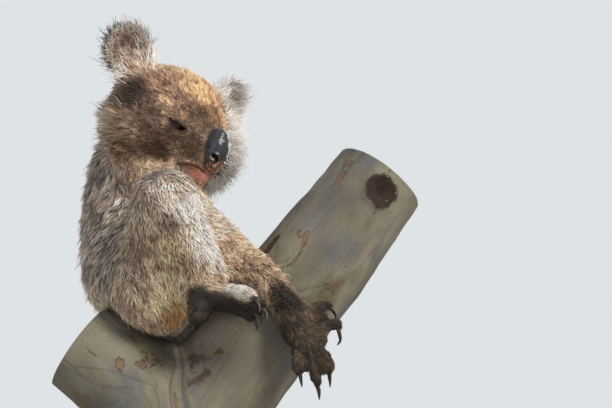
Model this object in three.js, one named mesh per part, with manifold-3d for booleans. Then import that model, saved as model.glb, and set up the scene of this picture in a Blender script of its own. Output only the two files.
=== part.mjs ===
// A koala asleep in the fork of a eucalypt, life size, on a plain display stand.
// Millimetres, +Z up. The origin is the middle of the stand's underside. The fork lies in the XZ plane: its stem
// leans towards -X and its branch rises towards +X. The koala sits in the fork and faces +X, with its head turned
// over its right knee towards -Y.
//
// The body is a field: each named part is a few rounded bones and ellipsoids, joined softly into one form. That
// form is meshed once for each part and parted from its neighbours by thin cuts that follow the creases.
import * as THREE from "three";
import { mergeVertices } from "three/addons/utils/BufferGeometryUtils.js";
import Module from "manifold-3d";

const wasm = await Module();
wasm.setup();

// ---- Driving dimensions -------------------------------------------------------------------------------------

const GAP = 0.3; // clear space left between touching solids
const BLEND = 12; // how softly one part of the body runs into the next
const CELL = 15.5; // grid step of the body's facets
const PERCH_CLEARANCE = 0.8; // from the flesh to the fork's mean surface
const PALM_SIDES = 8;

const BODY_HEADING = -12; // degrees from +X, turned towards -Y
const PELVIS = new THREE.Vector3(-107, 14, 468);
const HEAD_CENTRE = new THREE.Vector3(-79, -32, 640);
const HEAD_FORWARD = new THREE.Vector3(0.686, -0.623, -0.376);
const HEAD_UP = new THREE.Vector3(0.271, -0.261, 0.927);

const EAR = { back: 6, left: 84, leftUp: 42, right: 78, rightUp: 54, radius: 30, cup: 12, thickness: 22, sides: 12 };
const EAR_TALLNESS = 1.06;
const EAR_FACING = { forward: 0.93, side: 0.36 };
const EYE = { forward: 46, side: 31, up: -9, radius: 9.5 };
const NOSE = { forward: 80, up: -25, halfLength: 15, halfWidth: 12.6, halfHeight: 24.5 };

const WOOD_SIDES = 14;
const WOOD_RINGS = 9;
const BASE = { length: 400, width: 336, height: 22, corner: 26, bevel: 3 };
const ROD = { radius: 8, spacing: 84, sides: 20 };

const COLOUR = {
  coat: 0x8f7c69,
  nose: 0x2b2a2f,
  eye: 0x2a1a12,
  claw: 0x3a2c22,
  bark: 0xb9b3a2,
  base: 0x2e2c2a,
  rod: 0x9a9a98,
};

const v3 = (x, y, z) => new THREE.Vector3(x, y, z);

// ---- Fields: signed distances in millimetres, negative inside -----------------------------------------------

// A bone with flesh on it: two balls and the cone between them.
function bone(a, b, radiusA, radiusB) {
  const axis = b.clone().sub(a);
  const lengthSq = axis.lengthSq();
  return (p) => {
    const t = THREE.MathUtils.clamp(p.clone().sub(a).dot(axis) / lengthSq, 0, 1);
    return p.distanceTo(a.clone().addScaledVector(axis, t)) - THREE.MathUtils.lerp(radiusA, radiusB, t);
  };
}

// An ellipsoid whose axes are the given unit vectors.
function ellipsoid(centre, axes, radii) {
  return (p) => {
    const d = p.clone().sub(centre);
    const q = axes.map((axis, i) => d.dot(axis) / radii[i]);
    const k0 = Math.hypot(...q);
    const k1 = Math.hypot(...q.map((value, i) => value / radii[i]));
    return k1 < 1e-9 ? -Math.min(...radii) : (k0 * (k0 - 1)) / k1;
  };
}

function softMin(a, b, softness) {
  const h = Math.max(softness - Math.abs(a - b), 0) / softness;
  return Math.min(a, b) - (h * h * softness) / 4;
}

const joined = (softness, ...fields) => (p) =>
  fields.reduce((d, field) => softMin(d, field(p), softness), Infinity);

// A local frame: forward, left and up unit vectors, and a function that places a local point.
function localFrame(origin, forward, up) {
  const f = forward.clone().normalize();
  const left = up.clone().cross(f).normalize();
  const u = f.clone().cross(left);
  const place = (x, y, z) =>
    origin.clone().addScaledVector(f, x).addScaledVector(left, y).addScaledVector(u, z);
  return { axes: [f, left, u], place };
}

// ---- The body -----------------------------------------------------------------------------------------------

const heading = THREE.MathUtils.degToRad(BODY_HEADING);
const body = localFrame(PELVIS, v3(Math.cos(heading), Math.sin(heading), 0), v3(0, 0, 1));
const head = localFrame(HEAD_CENTRE, HEAD_FORWARD, HEAD_UP);

// Rump, belly, chest and rounded back, from the seat up to the withers.
const trunkField = joined(
  30,
  ellipsoid(body.place(2, 0, 0), body.axes, [69, 90, 72]),
  ellipsoid(body.place(-6, 0, 62), body.axes, [70, 82, 80]),
  ellipsoid(body.place(-4, -2, 126), body.axes, [64, 76, 66]),
);

// side is 1 for the left ear and -1 for the right one, which is cocked a little higher.
const earCentre = (side) =>
  side > 0 ? head.place(-EAR.back, EAR.left, EAR.leftUp) : head.place(-EAR.back, -EAR.right, EAR.rightUp);
const earRoot = (side) => {
  const behind = earCentre(side).lerp(HEAD_CENTRE, 0.26).addScaledVector(head.axes[0], -9);
  return joined(10, bone(head.place(-12, side * 38, 24), behind, 23, 17), bone(head.place(-12, side * 56, 2), behind, 22, 17));
};

// The deep ruff of fur behind each cheek, and the cheek in front of it.
const cheek = (side) =>
  joined(
    14,
    ellipsoid(head.place(5, side * 57 + 3, -20), head.axes, [32, 35, 43]),
    ellipsoid(head.place(10, side * 30, -20), head.axes, [46, 38, 38]),
  );

// Cranium, cheeks, muzzle, lower jaw and the roots of the ears.
const headField = joined(
  16,
  ellipsoid(head.place(-6, 0, 10), head.axes, [58, 60, 51]),
  ellipsoid(head.place(55, 0, -23), head.axes, [34, 26, 29]),
  ellipsoid(head.place(57, 0, -50), head.axes, [27, 21, 18]),
  cheek(1),
  cheek(-1),
  earRoot(1),
  earRoot(-1),
);

const RIGHT = {
  shoulder: v3(-96, -44, 562),
  elbow: v3(-24, -52, 493),
  wrist: v3(55, -72, 409),
  hip: v3(-88, -46, 438),
  knee: v3(-76, -112, 515),
  ankle: v3(-33, -98, 442),
};
const LEFT = {
  shoulder: v3(-92, 60, 570),
  elbow: v3(-24, 72, 500),
  wrist: v3(64, 80, 466),
  hip: v3(-92, 62, 440),
  knee: v3(-54, 122, 508),
  ankle: v3(-32, 102, 424),
};

const armField = (side) => {
  const forearm = side.elbow.clone().lerp(side.wrist, 0.55);
  return joined(
    14,
    bone(side.shoulder, side.elbow, 36, 24),
    bone(side.elbow, forearm, 25, 26),
    bone(forearm, side.wrist, 26, 20),
  );
};

const legField = (side) =>
  joined(16, bone(side.hip, side.knee, 52, 36), bone(side.knee, side.ankle, 36, 25));

// ---- Paws ---------------------------------------------------------------------------------------------------

// Digits run from the first to the fifth. Each is a bent line from inside the palm to its blunt end, with its
// radius and the point of its claw.
// Fore paws have two thumbs against three fingers; hind paws have a clawless great toe and a fused grooming pair.
const PAWS = {
  forepaw_right: {
    palm: {
      line: [v3(52, -71, 413), v3(61, -73, 394), v3(71, -74, 376), v3(76, -75, 362)],
      across: v3(0.85, 0.25, 0.45),
      breadth: [20, 23, 24, 17],
      depth: [15, 15, 13, 9],
    },
    digits: [
      { line: [v3(62, -68, 404), v3(80, -63, 419), v3(93, -57, 418)], radius: 8, claw: v3(97, -54, 405) },
      { line: [v3(72, -70, 394), v3(91, -67, 401), v3(101, -62, 392)], radius: 8.5, claw: v3(98, -60, 378) },
      { line: [v3(77, -75, 376), v3(87, -79, 360), v3(90, -76, 346)], radius: 8.5, claw: v3(91, -70, 332) },
      { line: [v3(70, -78, 368), v3(76, -83, 349), v3(79, -80, 333)], radius: 9, claw: v3(80, -73, 319) },
      { line: [v3(60, -76, 376), v3(59, -80, 359), v3(61, -78, 346)], radius: 8, claw: v3(63, -72, 332) },
    ],
  },
  forepaw_left: {
    palm: {
      line: [v3(58, 80, 467), v3(72, 79, 478), v3(84, 76, 491), v3(92, 74, 501)],
      across: v3(0.7, -0.15, -0.62),
      breadth: [20, 23, 24, 17],
      depth: [15, 15, 13, 9],
    },
    digits: [
      { line: [v3(78, 78, 462), v3(96, 73, 459), v3(107, 65, 463)], radius: 8, claw: v3(114, 58, 470) },
      { line: [v3(90, 77, 473), v3(107, 72, 476), v3(116, 64, 482)], radius: 8.5, claw: v3(121, 57, 490) },
      { line: [v3(96, 75, 490), v3(108, 70, 503), v3(113, 63, 515)], radius: 8.5, claw: v3(116, 57, 526) },
      { line: [v3(88, 76, 501), v3(95, 72, 519), v3(98, 65, 532)], radius: 9, claw: v3(100, 59, 543) },
      { line: [v3(76, 78, 499), v3(77, 74, 516), v3(78, 66, 528)], radius: 8, claw: v3(79, 59, 538) },
    ],
  },
  hindpaw_right: {
    palm: {
      line: [v3(-50, -100, 424), v3(-32, -102, 421), v3(-12, -104, 416), v3(4, -106, 412)],
      across: v3(0.1, -0.8, 0.6),
      breadth: [15, 18, 18, 14],
      depth: [14, 14, 12, 9],
    },
    digits: [
      { line: [v3(-34, -100, 412), v3(-41, -105, 401), v3(-44, -108, 390)], radius: 10.5 },
      { line: [v3(-6, -98, 407), v3(7, -98, 402), v3(16, -99, 395)], radius: 7, claw: v3(17, -103, 381) },
      { line: [v3(-2, -103, 411), v3(11, -104, 406), v3(21, -105, 399)], radius: 7, claw: v3(22, -110, 384) },
      { line: [v3(-2, -110, 416), v3(14, -113, 412), v3(25, -112, 404)], radius: 8.5, claw: v3(27, -115, 387) },
      { line: [v3(-8, -116, 420), v3(6, -121, 417), v3(17, -120, 411)], radius: 8, claw: v3(21, -123, 394) },
    ],
  },
  hindpaw_left: {
    palm: {
      line: [v3(-46, 102, 404), v3(-26, 100, 399), v3(-4, 97, 393), v3(14, 94, 389)],
      across: v3(0.1, 0.8, 0.6),
      breadth: [15, 18, 18, 14],
      depth: [14, 14, 12, 9],
    },
    digits: [
      { line: [v3(-26, 94, 388), v3(-20, 88, 374), v3(-13, 84, 364)], radius: 10.5 },
      { line: [v3(4, 86, 383), v3(19, 84, 378), v3(28, 82, 370)], radius: 7, claw: v3(30, 79, 357) },
      { line: [v3(6, 91, 388), v3(23, 90, 383), v3(33, 88, 375)], radius: 7, claw: v3(35, 85, 361) },
      { line: [v3(6, 99, 393), v3(25, 100, 390), v3(37, 97, 383)], radius: 8.5, claw: v3(41, 93, 367) },
      { line: [v3(2, 105, 398), v3(19, 109, 397), v3(30, 106, 392)], radius: 8, claw: v3(36, 101, 378) },
    ],
  },
};

// ---- Perch --------------------------------------------------------------------------------------------------

// The stem stands on the rods, swells at the fork and goes on as a short leaning stub.
const STEM_LINE = [v3(-82, 0, 196), v3(-84, 0, 280), v3(-98, 0, 332), v3(-132, -4, 364), v3(-170, -8, 390)];
const STEM_RADII = [70, 71, 65, 55, 49];
// The branch leaves the stem low in the fork and rises past the koala's arm to its cut end.
const BRANCH_LINE = [v3(-92, 0, 250), v3(-55, 0, 302), v3(-14, 0, 360), v3(84, 0, 494), v3(148, 0, 582)];
const BRANCH_RADII = [48, 60, 60, 57, 52];

// The wood as a field, used to press the flesh flat where it rests on the fork.
const woodField = (line, radii) =>
  joined(4, ...line.slice(1).map((end, i) => bone(line[i], end, radii[i], radii[i + 1])));
const perchField = joined(4, woodField(STEM_LINE, STEM_RADII), woodField(BRANCH_LINE, BRANCH_RADII));

// ---- Meshing the body ---------------------------------------------------------------------------------------

const FLESH = [
  { name: "head", field: headField },
  { name: "leg_right", field: legField(RIGHT) },
  { name: "leg_left", field: legField(LEFT) },
  { name: "arm_right", field: armField(RIGHT) },
  { name: "arm_left", field: armField(LEFT) },
  { name: "trunk", field: trunkField },
];
const OUTSIDE = -1;
const wholeBody = joined(BLEND, ...FLESH.map((part) => part.field));

// The body on one grid. Every grid point belongs to the nearest part, or to the outside.
const origin = v3(-246, -192, 336);
const count = [25, 27, 27];
const at = (i, j, k) => i + count[0] * (j + count[1] * k);
const grid = { label: [], body: [], parts: [] };
for (let k = 0; k < count[2]; k++)
  for (let j = 0; j < count[1]; j++)
    for (let i = 0; i < count[0]; i++) {
      const p = v3(i, j, k).multiplyScalar(CELL).add(origin);
      const distances = FLESH.map((part) => part.field(p));
      const inBody = Math.max(wholeBody(p), PERCH_CLEARANCE - perchField(p));
      grid.parts.push(distances);
      grid.body.push(inBody);
      grid.label.push(inBody < 0 ? distances.indexOf(Math.min(...distances)) : OUTSIDE);
    }

// Where the border between two unlike grid points crosses the edge between them, from 0 to 1.
function crossing(a, b) {
  const [labelA, labelB] = [grid.label[a], grid.label[b]];
  const border =
    labelA === OUTSIDE || labelB === OUTSIDE
      ? (point) => grid.body[point]
      : (point) => grid.parts[point][labelA] - grid.parts[point][labelB];
  return THREE.MathUtils.clamp(border(a) / (border(a) - border(b)), 0.05, 0.95);
}

// The corners of a cell, and the runs of corners that hang together on each side of a part's surface. Two inside
// corners hang together along an edge; two outside ones also do so across a face's diagonal.
const CORNERS = [0, 1, 2, 3, 4, 5, 6, 7].map((c) => [c & 1, (c >> 1) & 1, c >> 2]);
const CELL_EDGES = CORNERS.flatMap((_, a) => [1, 2, 4].filter((bit) => !(a & bit)).map((bit) => [a, a | bit]));
const DIAGONALS = CORNERS.flatMap((_, a) => [3, 5, 6].map((bits) => [a, a ^ bits])).filter(([a, b]) => a < b);

function cornerRuns(inside) {
  const run = CORNERS.map((_, corner) => corner);
  const join = ([a, b]) => {
    if (inside[a] !== inside[b]) return;
    const [from, to] = [run[b], run[a]];
    run.forEach((value, corner) => {
      if (value === from) run[corner] = to;
    });
  };
  CELL_EDGES.forEach(join);
  DIAGONALS.filter(([a]) => !inside[a]).forEach(join);
  return run;
}

function everyCell(visit) {
  for (let k = 0; k < count[2] - 1; k++)
    for (let j = 0; j < count[1] - 1; j++) for (let i = 0; i < count[0] - 1; i++) visit(i, j, k, at(i, j, k));
}

// The closed surface of one part of the body: a vertex for each sheet that crosses a cell, and a quad across each
// grid edge that it cuts. Neighbours share their vertices, so each part is then drawn in by half the gap.
function fleshSolid(label, drawnIn) {
  const positions = [];
  const vertexAt = new Map();
  everyCell((i, j, k, here) => {
    const points = CORNERS.map(([a, b, c]) => here + at(a, b, c));
    const inside = points.map((point) => grid.label[point] === label);
    if (inside.every(Boolean) || !inside.some(Boolean)) return;
    const run = cornerRuns(inside);
    const sheets = new Map();
    const all = { sum: v3(0, 0, 0), edges: [] };
    for (const [a, b] of CELL_EDGES) {
      if (grid.label[points[a]] === grid.label[points[b]]) continue;
      const place = v3(...CORNERS[a]).lerp(v3(...CORNERS[b]), crossing(points[a], points[b]));
      const put = (sheet) => {
        sheet.sum.add(place);
        sheet.edges.push(a * 8 + b);
      };
      put(all);
      if (inside[a] === inside[b]) continue;
      const key = inside[a] ? run[a] * 8 + run[b] : run[b] * 8 + run[a];
      if (!sheets.has(key)) sheets.set(key, { sum: v3(0, 0, 0), edges: [] });
      put(sheets.get(key));
    }
    for (const sheet of sheets.values()) {
      sheet.edges.forEach((edge) => vertexAt.set(here * 64 + edge, positions.length / 3));
      const { sum, edges } = sheets.size === 1 ? all : sheet;
      positions.push(...sum.clone().divideScalar(edges.length).add(v3(i, j, k)).multiplyScalar(CELL).add(origin));
    }
  });

  const indices = [];
  const steps = [at(1, 0, 0), at(0, 1, 0), at(0, 0, 1)];
  everyCell((i, j, k, here) => {
    steps.forEach((step, axis) => {
      const inside = grid.label[here] === label;
      if (inside === (grid.label[here + step] === label)) return;
      const [u, w] = [(axis + 1) % 3, (axis + 2) % 3];
      const [a, b, c, d] = [[1, 1], [0, 1], [0, 0], [1, 0]].map(([backU, backW]) => {
        const from = (backU << u) | (backW << w);
        const cell = here - backU * steps[u] - backW * steps[w];
        return vertexAt.get(cell * 64 + from * 8 + (from | (1 << axis)));
      });
      indices.push(...(inside ? [a, b, c, a, c, d] : [a, c, b, a, d, c]));
    });
  });
  const geometry = new THREE.BufferGeometry();
  geometry.setAttribute("position", new THREE.Float32BufferAttribute(positions, 3));
  geometry.setIndex(indices);
  geometry.computeVertexNormals();
  const { position, normal } = geometry.attributes;
  for (let i = 0; i < position.count; i++) {
    const moved = v3(0, 0, 0).fromBufferAttribute(position, i);
    moved.addScaledVector(v3(0, 0, 0).fromBufferAttribute(normal, i), -drawnIn);
    position.setXYZ(i, ...moved);
  }
  return solid(geometry);
}

// ---- Solids -------------------------------------------------------------------------------------------------

function solid(geometry) {
  const bare = geometry.clone();
  for (const name of Object.keys(bare.attributes)) if (name !== "position") bare.deleteAttribute(name);
  const merged = mergeVertices(bare, 1e-3);
  return new wasm.Manifold(
    new wasm.Mesh({
      numProp: 3,
      vertProperties: merged.attributes.position.array,
      triVerts: new Uint32Array(merged.index.array),
    }),
  );
}

// Slivers left beside a cut are dropped: a part is its largest piece.
function largestPiece(made) {
  return made.decompose().reduce((best, piece) => (piece.volume() > best.volume() ? piece : best));
}

function geometryOf(made) {
  const mesh = made.getMesh();
  const positions = new Float32Array(mesh.numVert * 3);
  for (let i = 0; i < mesh.numVert; i++)
    positions.set(mesh.vertProperties.subarray(i * mesh.numProp, i * mesh.numProp + 3), i * 3);
  const geometry = new THREE.BufferGeometry();
  geometry.setAttribute("position", new THREE.BufferAttribute(positions, 3));
  geometry.setIndex(new THREE.BufferAttribute(mesh.triVerts, 1));
  geometry.computeVertexNormals();
  return geometry;
}

// A solid through a run of closed loops of points, each end closed on its middle point.
function loopSolid(loops, start, end) {
  const sides = loops[0].length;
  const positions = [...loops.flat(), start, end].flatMap((point) => [...point]);
  const first = loops.length * sides;
  const last = first - sides;
  const indices = [];
  for (let side = 0; side < sides; side++) {
    const next = (side + 1) % sides;
    for (let ring = 0; ring < loops.length - 1; ring++) {
      const [a, b] = [ring * sides + side, ring * sides + next];
      indices.push(a, b, b + sides, a, b + sides, a + sides);
    }
    indices.push(first, next, side, first + 1, last + side, last + next);
  }
  const geometry = new THREE.BufferGeometry();
  geometry.setAttribute("position", new THREE.Float32BufferAttribute(positions, 3));
  geometry.setIndex(indices);
  return solid(geometry);
}

// A round bar along a bent line. radiusAt gives its radius at a place from 0 to 1 along it and a turn round it.
function bar(line, radiusAt, sides, rings) {
  const curve = new THREE.CatmullRomCurve3(line, false, "centripetal");
  const frames = curve.computeFrenetFrames(rings - 1, false);
  const loops = frames.tangents.map((_, ring) => {
    const t = ring / (rings - 1);
    return Array.from({ length: sides }, (_, side) => {
      const turn = (2 * Math.PI * side) / sides;
      const out = frames.normals[ring].clone().multiplyScalar(Math.cos(turn));
      out.addScaledVector(frames.binormals[ring], Math.sin(turn));
      return curve.getPointAt(t).addScaledVector(out, radiusAt(t, turn));
    });
  });
  return loopSolid(loops, curve.getPointAt(0), curve.getPointAt(1));
}

// ---- The tree -----------------------------------------------------------------------------------------------

// Radii given at even steps along a limb of the tree, with a slight unevenness round it.
function woodRadius(radii, grown) {
  return (t, turn) => {
    const place = t * (radii.length - 1);
    const low = Math.min(Math.floor(place), radii.length - 2);
    const radius = THREE.MathUtils.lerp(radii[low], radii[low + 1], place - low);
    return radius * (1 + 0.025 * Math.sin(2 * turn + 5 * t)) + grown;
  };
}

const wood = (line, radii, grown) => bar(line, woodRadius(radii, grown), WOOD_SIDES, WOOD_RINGS);
const stemSolid = wood(STEM_LINE, STEM_RADII, 0);
const stemGrown = wood(STEM_LINE, STEM_RADII, GAP);
const branchSolid = wood(BRANCH_LINE, BRANCH_RADII, 0).subtract(stemGrown);
const perchGrown = stemGrown.add(wood(BRANCH_LINE, BRANCH_RADII, GAP));

// ---- Digits, claws, eyes and nose ---------------------------------------------------------------------------

// A digit tapers a little and ends in a round tip.
function digitSolid(digit) {
  const radiusAt = (t) => digit.radius * (1.1 - 0.15 * t) * Math.sqrt(Math.max(1 - t ** 9, 0.15));
  return bar(digit.line, radiusAt, 6, 5);
}

// A palm is a flat-sided bar along the middle of the paw, broad across the knuckles.
function palmSolid(palm) {
  const across = palm.across.clone().normalize();
  const curve = new THREE.CatmullRomCurve3(palm.line, false, "centripetal");
  const loops = palm.breadth.map((breadth, ring) => {
    const t = ring / (palm.breadth.length - 1);
    const thick = curve.getTangentAt(t).cross(across).normalize();
    const centre = curve.getPointAt(t);
    return Array.from({ length: PALM_SIDES }, (_, side) => {
      const turn = (2 * Math.PI * side) / PALM_SIDES;
      const out = across.clone().multiplyScalar(Math.cos(turn) * breadth);
      return out.addScaledVector(thick, Math.sin(turn) * palm.depth[ring]).add(centre);
    });
  });
  return loopSolid(loops, curve.getPointAt(0), curve.getPointAt(1));
}

// A claw starts inside the digit's tip and curls down to a point.
function clawSolid(digit, grown) {
  const [, knuckle, tip] = digit.line;
  const along = tip.clone().sub(knuckle).normalize();
  const root = tip.clone().addScaledVector(along, -digit.radius * 0.55);
  const middle = tip.clone().addScaledVector(along, digit.radius * 0.75).lerp(digit.claw, 0.3);
  const thickness = digit.radius * 0.42;
  return bar([root, middle, digit.claw], (t) => thickness * (1 - 0.82 * t * t) + grown, 4, 4);
}

function eyeSolid(side, grown) {
  const centre = head.place(EYE.forward, side * EYE.side, EYE.up);
  return solid(new THREE.SphereGeometry(EYE.radius + grown, 10, 8).translate(...centre));
}

// An ear is a round, cupped flap with a thick furry rim. side is 1 for the left one and -1 for the right one.
function earSolid(side) {
  const centre = earCentre(side);
  const outward = head.place(EAR_FACING.forward, side * EAR_FACING.side, 0).sub(HEAD_CENTRE);
  const facing = localFrame(centre, outward, head.axes[2]);
  const ring = (share, forward) =>
    Array.from({ length: EAR.sides }, (_, index) => {
      const turn = (-2 * Math.PI * index) / EAR.sides;
      const radius = EAR.radius * share;
      return facing.place(forward, Math.cos(turn) * radius, Math.sin(turn) * radius * EAR_TALLNESS);
    });
  const [cup, back] = [EAR.cup, -EAR.thickness];
  const loops = [
    ring(0.4, -cup * 0.8),
    ring(0.72, -cup * 0.3),
    ring(0.93, 2),
    ring(1, -6),
    ring(0.85, back * 0.72),
    ring(0.5, back),
  ];
  return loopSolid(loops, facing.place(-cup, 0, 0), facing.place(back * 1.1, 0, 0));
}

// The bare nose pad is a long rounded shield, a little wider at the nostrils.
function noseSolid(grown) {
  const geometry = new THREE.SphereGeometry(1, 12, 8);
  const position = geometry.attributes.position;
  const p = v3(0, 0, 0);
  for (let i = 0; i < position.count; i++) {
    p.fromBufferAttribute(position, i);
    const square = (value, power) => Math.sign(value) * Math.abs(value) ** power;
    const widening = 1 + 0.12 * -p.z;
    const placed = head.place(
      NOSE.forward + square(p.x, 0.8) * (NOSE.halfLength + grown),
      square(p.y, 0.85) * widening * (NOSE.halfWidth + grown),
      NOSE.up + square(p.z, 0.9) * (NOSE.halfHeight + grown),
    );
    position.setXYZ(i, ...placed);
  }
  return solid(geometry);
}

// ---- Assembly -----------------------------------------------------------------------------------------------

const model = new THREE.Group();

function addNode(name, made, colour, roughness = 0.9, metalness = 0) {
  const material = new THREE.MeshStandardMaterial({ color: colour, roughness, metalness });
  const mesh = new THREE.Mesh(geometryOf(largestPiece(made)), material);
  mesh.name = name;
  model.add(mesh);
}

const fittings = eyeSolid(1, GAP).add(eyeSolid(-1, GAP)).add(noseSolid(GAP));
let flesh = perchGrown;
FLESH.forEach((part, label) => {
  const made = fleshSolid(label, GAP / 2).subtract(perchGrown);
  addNode(part.name, part.name === "head" ? made.subtract(fittings) : made, COLOUR.coat);
  flesh = flesh.add(fleshSolid(label, -GAP / 2));
});
addNode("ear_left", earSolid(1).subtract(flesh), COLOUR.coat);
addNode("ear_right", earSolid(-1).subtract(flesh), COLOUR.coat);

const claws = [];
for (const [name, paw] of Object.entries(PAWS)) {
  let made = palmSolid(paw.palm);
  for (const digit of paw.digits) made = made.add(digitSolid(digit));
  for (const [order, digit] of paw.digits.entries()) {
    if (!digit.claw) continue;
    made = made.subtract(clawSolid(digit, GAP));
    claws.push({ name: `claw_${name}_${order + 1}`, made: clawSolid(digit, 0) });
  }
  addNode(name, made.subtract(flesh), COLOUR.coat);
}

for (const claw of claws) addNode(claw.name, claw.made, COLOUR.claw, 0.4);
addNode("eye_left", eyeSolid(1, 0), COLOUR.eye, 0.15);
addNode("eye_right", eyeSolid(-1, 0), COLOUR.eye, 0.15);
addNode("nose", noseSolid(0), COLOUR.nose, 0.5);
addNode("perch_stem", stemSolid, COLOUR.bark);
addNode("perch_branch", branchSolid, COLOUR.bark);

// ---- Stand --------------------------------------------------------------------------------------------------

function baseSolid() {
  const [halfLength, halfWidth] = [BASE.length / 2 - BASE.bevel, BASE.width / 2 - BASE.bevel];
  const outline = new THREE.Shape();
  const corners = [[1, -1, -90], [1, 1, 0], [-1, 1, 90], [-1, -1, 180]];
  for (const [x, y, start] of corners) {
    const [cx, cy] = [x * (halfLength - BASE.corner), y * (halfWidth - BASE.corner)];
    const from = THREE.MathUtils.degToRad(start);
    outline.absarc(cx, cy, BASE.corner, from, from + Math.PI / 2, false);
  }
  const geometry = new THREE.ExtrudeGeometry(outline, {
    depth: BASE.height - 2 * BASE.bevel,
    bevelSize: BASE.bevel,
    bevelThickness: BASE.bevel,
    bevelSegments: 1,
    curveSegments: 4,
  });
  return solid(geometry.translate(0, 0, BASE.bevel));
}

// Two upright rods stand on the base and end at the stem's sawn foot.
function rodSolid(side) {
  const [foot, top] = [BASE.height + GAP, STEM_LINE[0].z - GAP];
  const geometry = new THREE.CylinderGeometry(ROD.radius, ROD.radius, top - foot, ROD.sides);
  geometry.rotateX(Math.PI / 2);
  return solid(geometry.translate(STEM_LINE[0].x + (side * ROD.spacing) / 2, 0, (foot + top) / 2));
}

addNode("stand_base", baseSolid(), COLOUR.base, 0.6);
addNode("stand_rod_1", rodSolid(-1).subtract(perchGrown), COLOUR.rod, 0.35, 1);
addNode("stand_rod_2", rodSolid(1).subtract(perchGrown), COLOUR.rod, 0.35, 1);

export default model;
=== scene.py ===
"""A koala asleep in the fork of a smooth-barked gum, life size, on a plain display stand.

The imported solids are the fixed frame. One skin is laid inside the solids of flesh, at the coat's depth, and
a coat of solid tufts is grown on it. The nose, eyes, claws, perch and stand are pieces of their own.
Lengths are in metres, and MM turns millimetres into them. The head has its own axes: forward, left and up.
"""

import math
from collections import namedtuple
from functools import partial

import bmesh
import bpy
import numpy as np
from bpy.props import FloatProperty, FloatVectorProperty, IntProperty, PointerProperty
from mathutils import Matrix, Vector, kdtree, noise
from mathutils.bvhtree import BVHTree


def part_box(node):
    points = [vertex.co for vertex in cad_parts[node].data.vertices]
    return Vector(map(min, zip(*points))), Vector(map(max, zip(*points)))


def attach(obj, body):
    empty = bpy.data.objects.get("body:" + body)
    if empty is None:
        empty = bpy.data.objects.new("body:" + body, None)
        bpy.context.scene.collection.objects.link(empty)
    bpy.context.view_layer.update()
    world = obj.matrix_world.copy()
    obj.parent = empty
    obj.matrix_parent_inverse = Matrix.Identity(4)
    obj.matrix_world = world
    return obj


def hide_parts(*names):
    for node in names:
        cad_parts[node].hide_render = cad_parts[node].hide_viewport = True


bl_info = {
    "name": "Koala Figure",
    "version": (1, 0, 0),
    "blender": (4, 5, 0),
    "location": "View3D > Sidebar > Koala",
    "description": "Builds a life-size koala with a solid coat, on a gum branch and a display stand",
    "category": "Add Mesh",
}

MM = 0.001

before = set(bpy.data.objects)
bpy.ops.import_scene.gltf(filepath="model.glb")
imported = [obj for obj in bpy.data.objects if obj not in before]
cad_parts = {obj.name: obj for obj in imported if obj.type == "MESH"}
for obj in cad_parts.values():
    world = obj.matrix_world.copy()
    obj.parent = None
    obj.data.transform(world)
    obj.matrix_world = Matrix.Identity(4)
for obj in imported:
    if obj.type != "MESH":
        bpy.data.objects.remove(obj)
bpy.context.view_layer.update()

FLESH = [
    "trunk", "head", "ear_left", "ear_right", "arm_left", "arm_right", "forepaw_left", "forepaw_right",
    "leg_left", "leg_right", "hindpaw_left", "hindpaw_right",
]
CLAWS = sorted(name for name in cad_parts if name.startswith("claw_"))
LEFT, RIGHT = 1, -1
SIDES = {"left": LEFT, "right": RIGHT}
EARS = ("ear_left", "ear_right")


# ---- Small tools -------------------------------------------------------------------------------------------


def linear(hex_colour):
    """The linear values of an sRGB colour written as six hex digits."""
    parts = np.array([int(hex_colour[i : i + 2], 16) for i in (0, 2, 4)]) / 255
    return np.where(parts <= 0.04045, parts / 12.92, ((parts + 0.055) / 1.055) ** 2.4)


def rgba(hex_colour):
    return (*linear(hex_colour), 1.0)


def unit(vectors):
    vectors = np.asarray(vectors, float)
    return vectors / np.maximum(np.linalg.norm(vectors, axis=-1, keepdims=True), 1e-12)


def dot(a, b):
    return (a * b).sum(-1)


def ease(values):
    """A smooth step from 0 to 1."""
    values = np.clip(values, 0, 1)
    return values * values * (3 - 2 * values)


def ramp(values, low, high):
    """A smooth step that runs from 0 at low to 1 at high; high may be the lower one."""
    return ease((values - low) / (high - low))


def away_from(place, points):
    """How far points are from a place."""
    return np.linalg.norm(points - place, axis=1)


def noise_at(points, size, seed):
    """Smooth noise from about -1 to 1, whose lumps are about the given size across."""
    shift = Vector((seed * 17.3, seed * 5.1, seed * 11.7))
    return np.array([noise.noise(Vector(p) / size + shift) for p in points]) * 1.6


def centre(node):
    low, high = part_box(node)
    return np.array((low + high) / 2)


class Axes:
    """A place with forward, left and up directions."""

    def __init__(self, origin, forward, up):
        forward = unit(forward)
        left = unit(np.cross(up, forward))
        self.origin = np.asarray(origin, float)
        self.rows = np.array([forward, left, np.cross(forward, left)])

    def local(self, points):
        return (points - self.origin) @ self.rows.T

    def world(self, place):
        return self.origin + np.asarray(place, float) @ self.rows

    def turn(self, direction):
        return np.asarray(direction, float) @ self.rows


def read(items, name, width, kind=np.float64):
    values = np.empty(len(items) * width, np.float32 if kind is np.float64 else np.int32)
    items.foreach_get(name, values)
    return values.astype(kind).reshape(-1, width)


def write_places(mesh, places):
    mesh.vertices.foreach_set("co", places.astype(np.float32).ravel())


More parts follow.
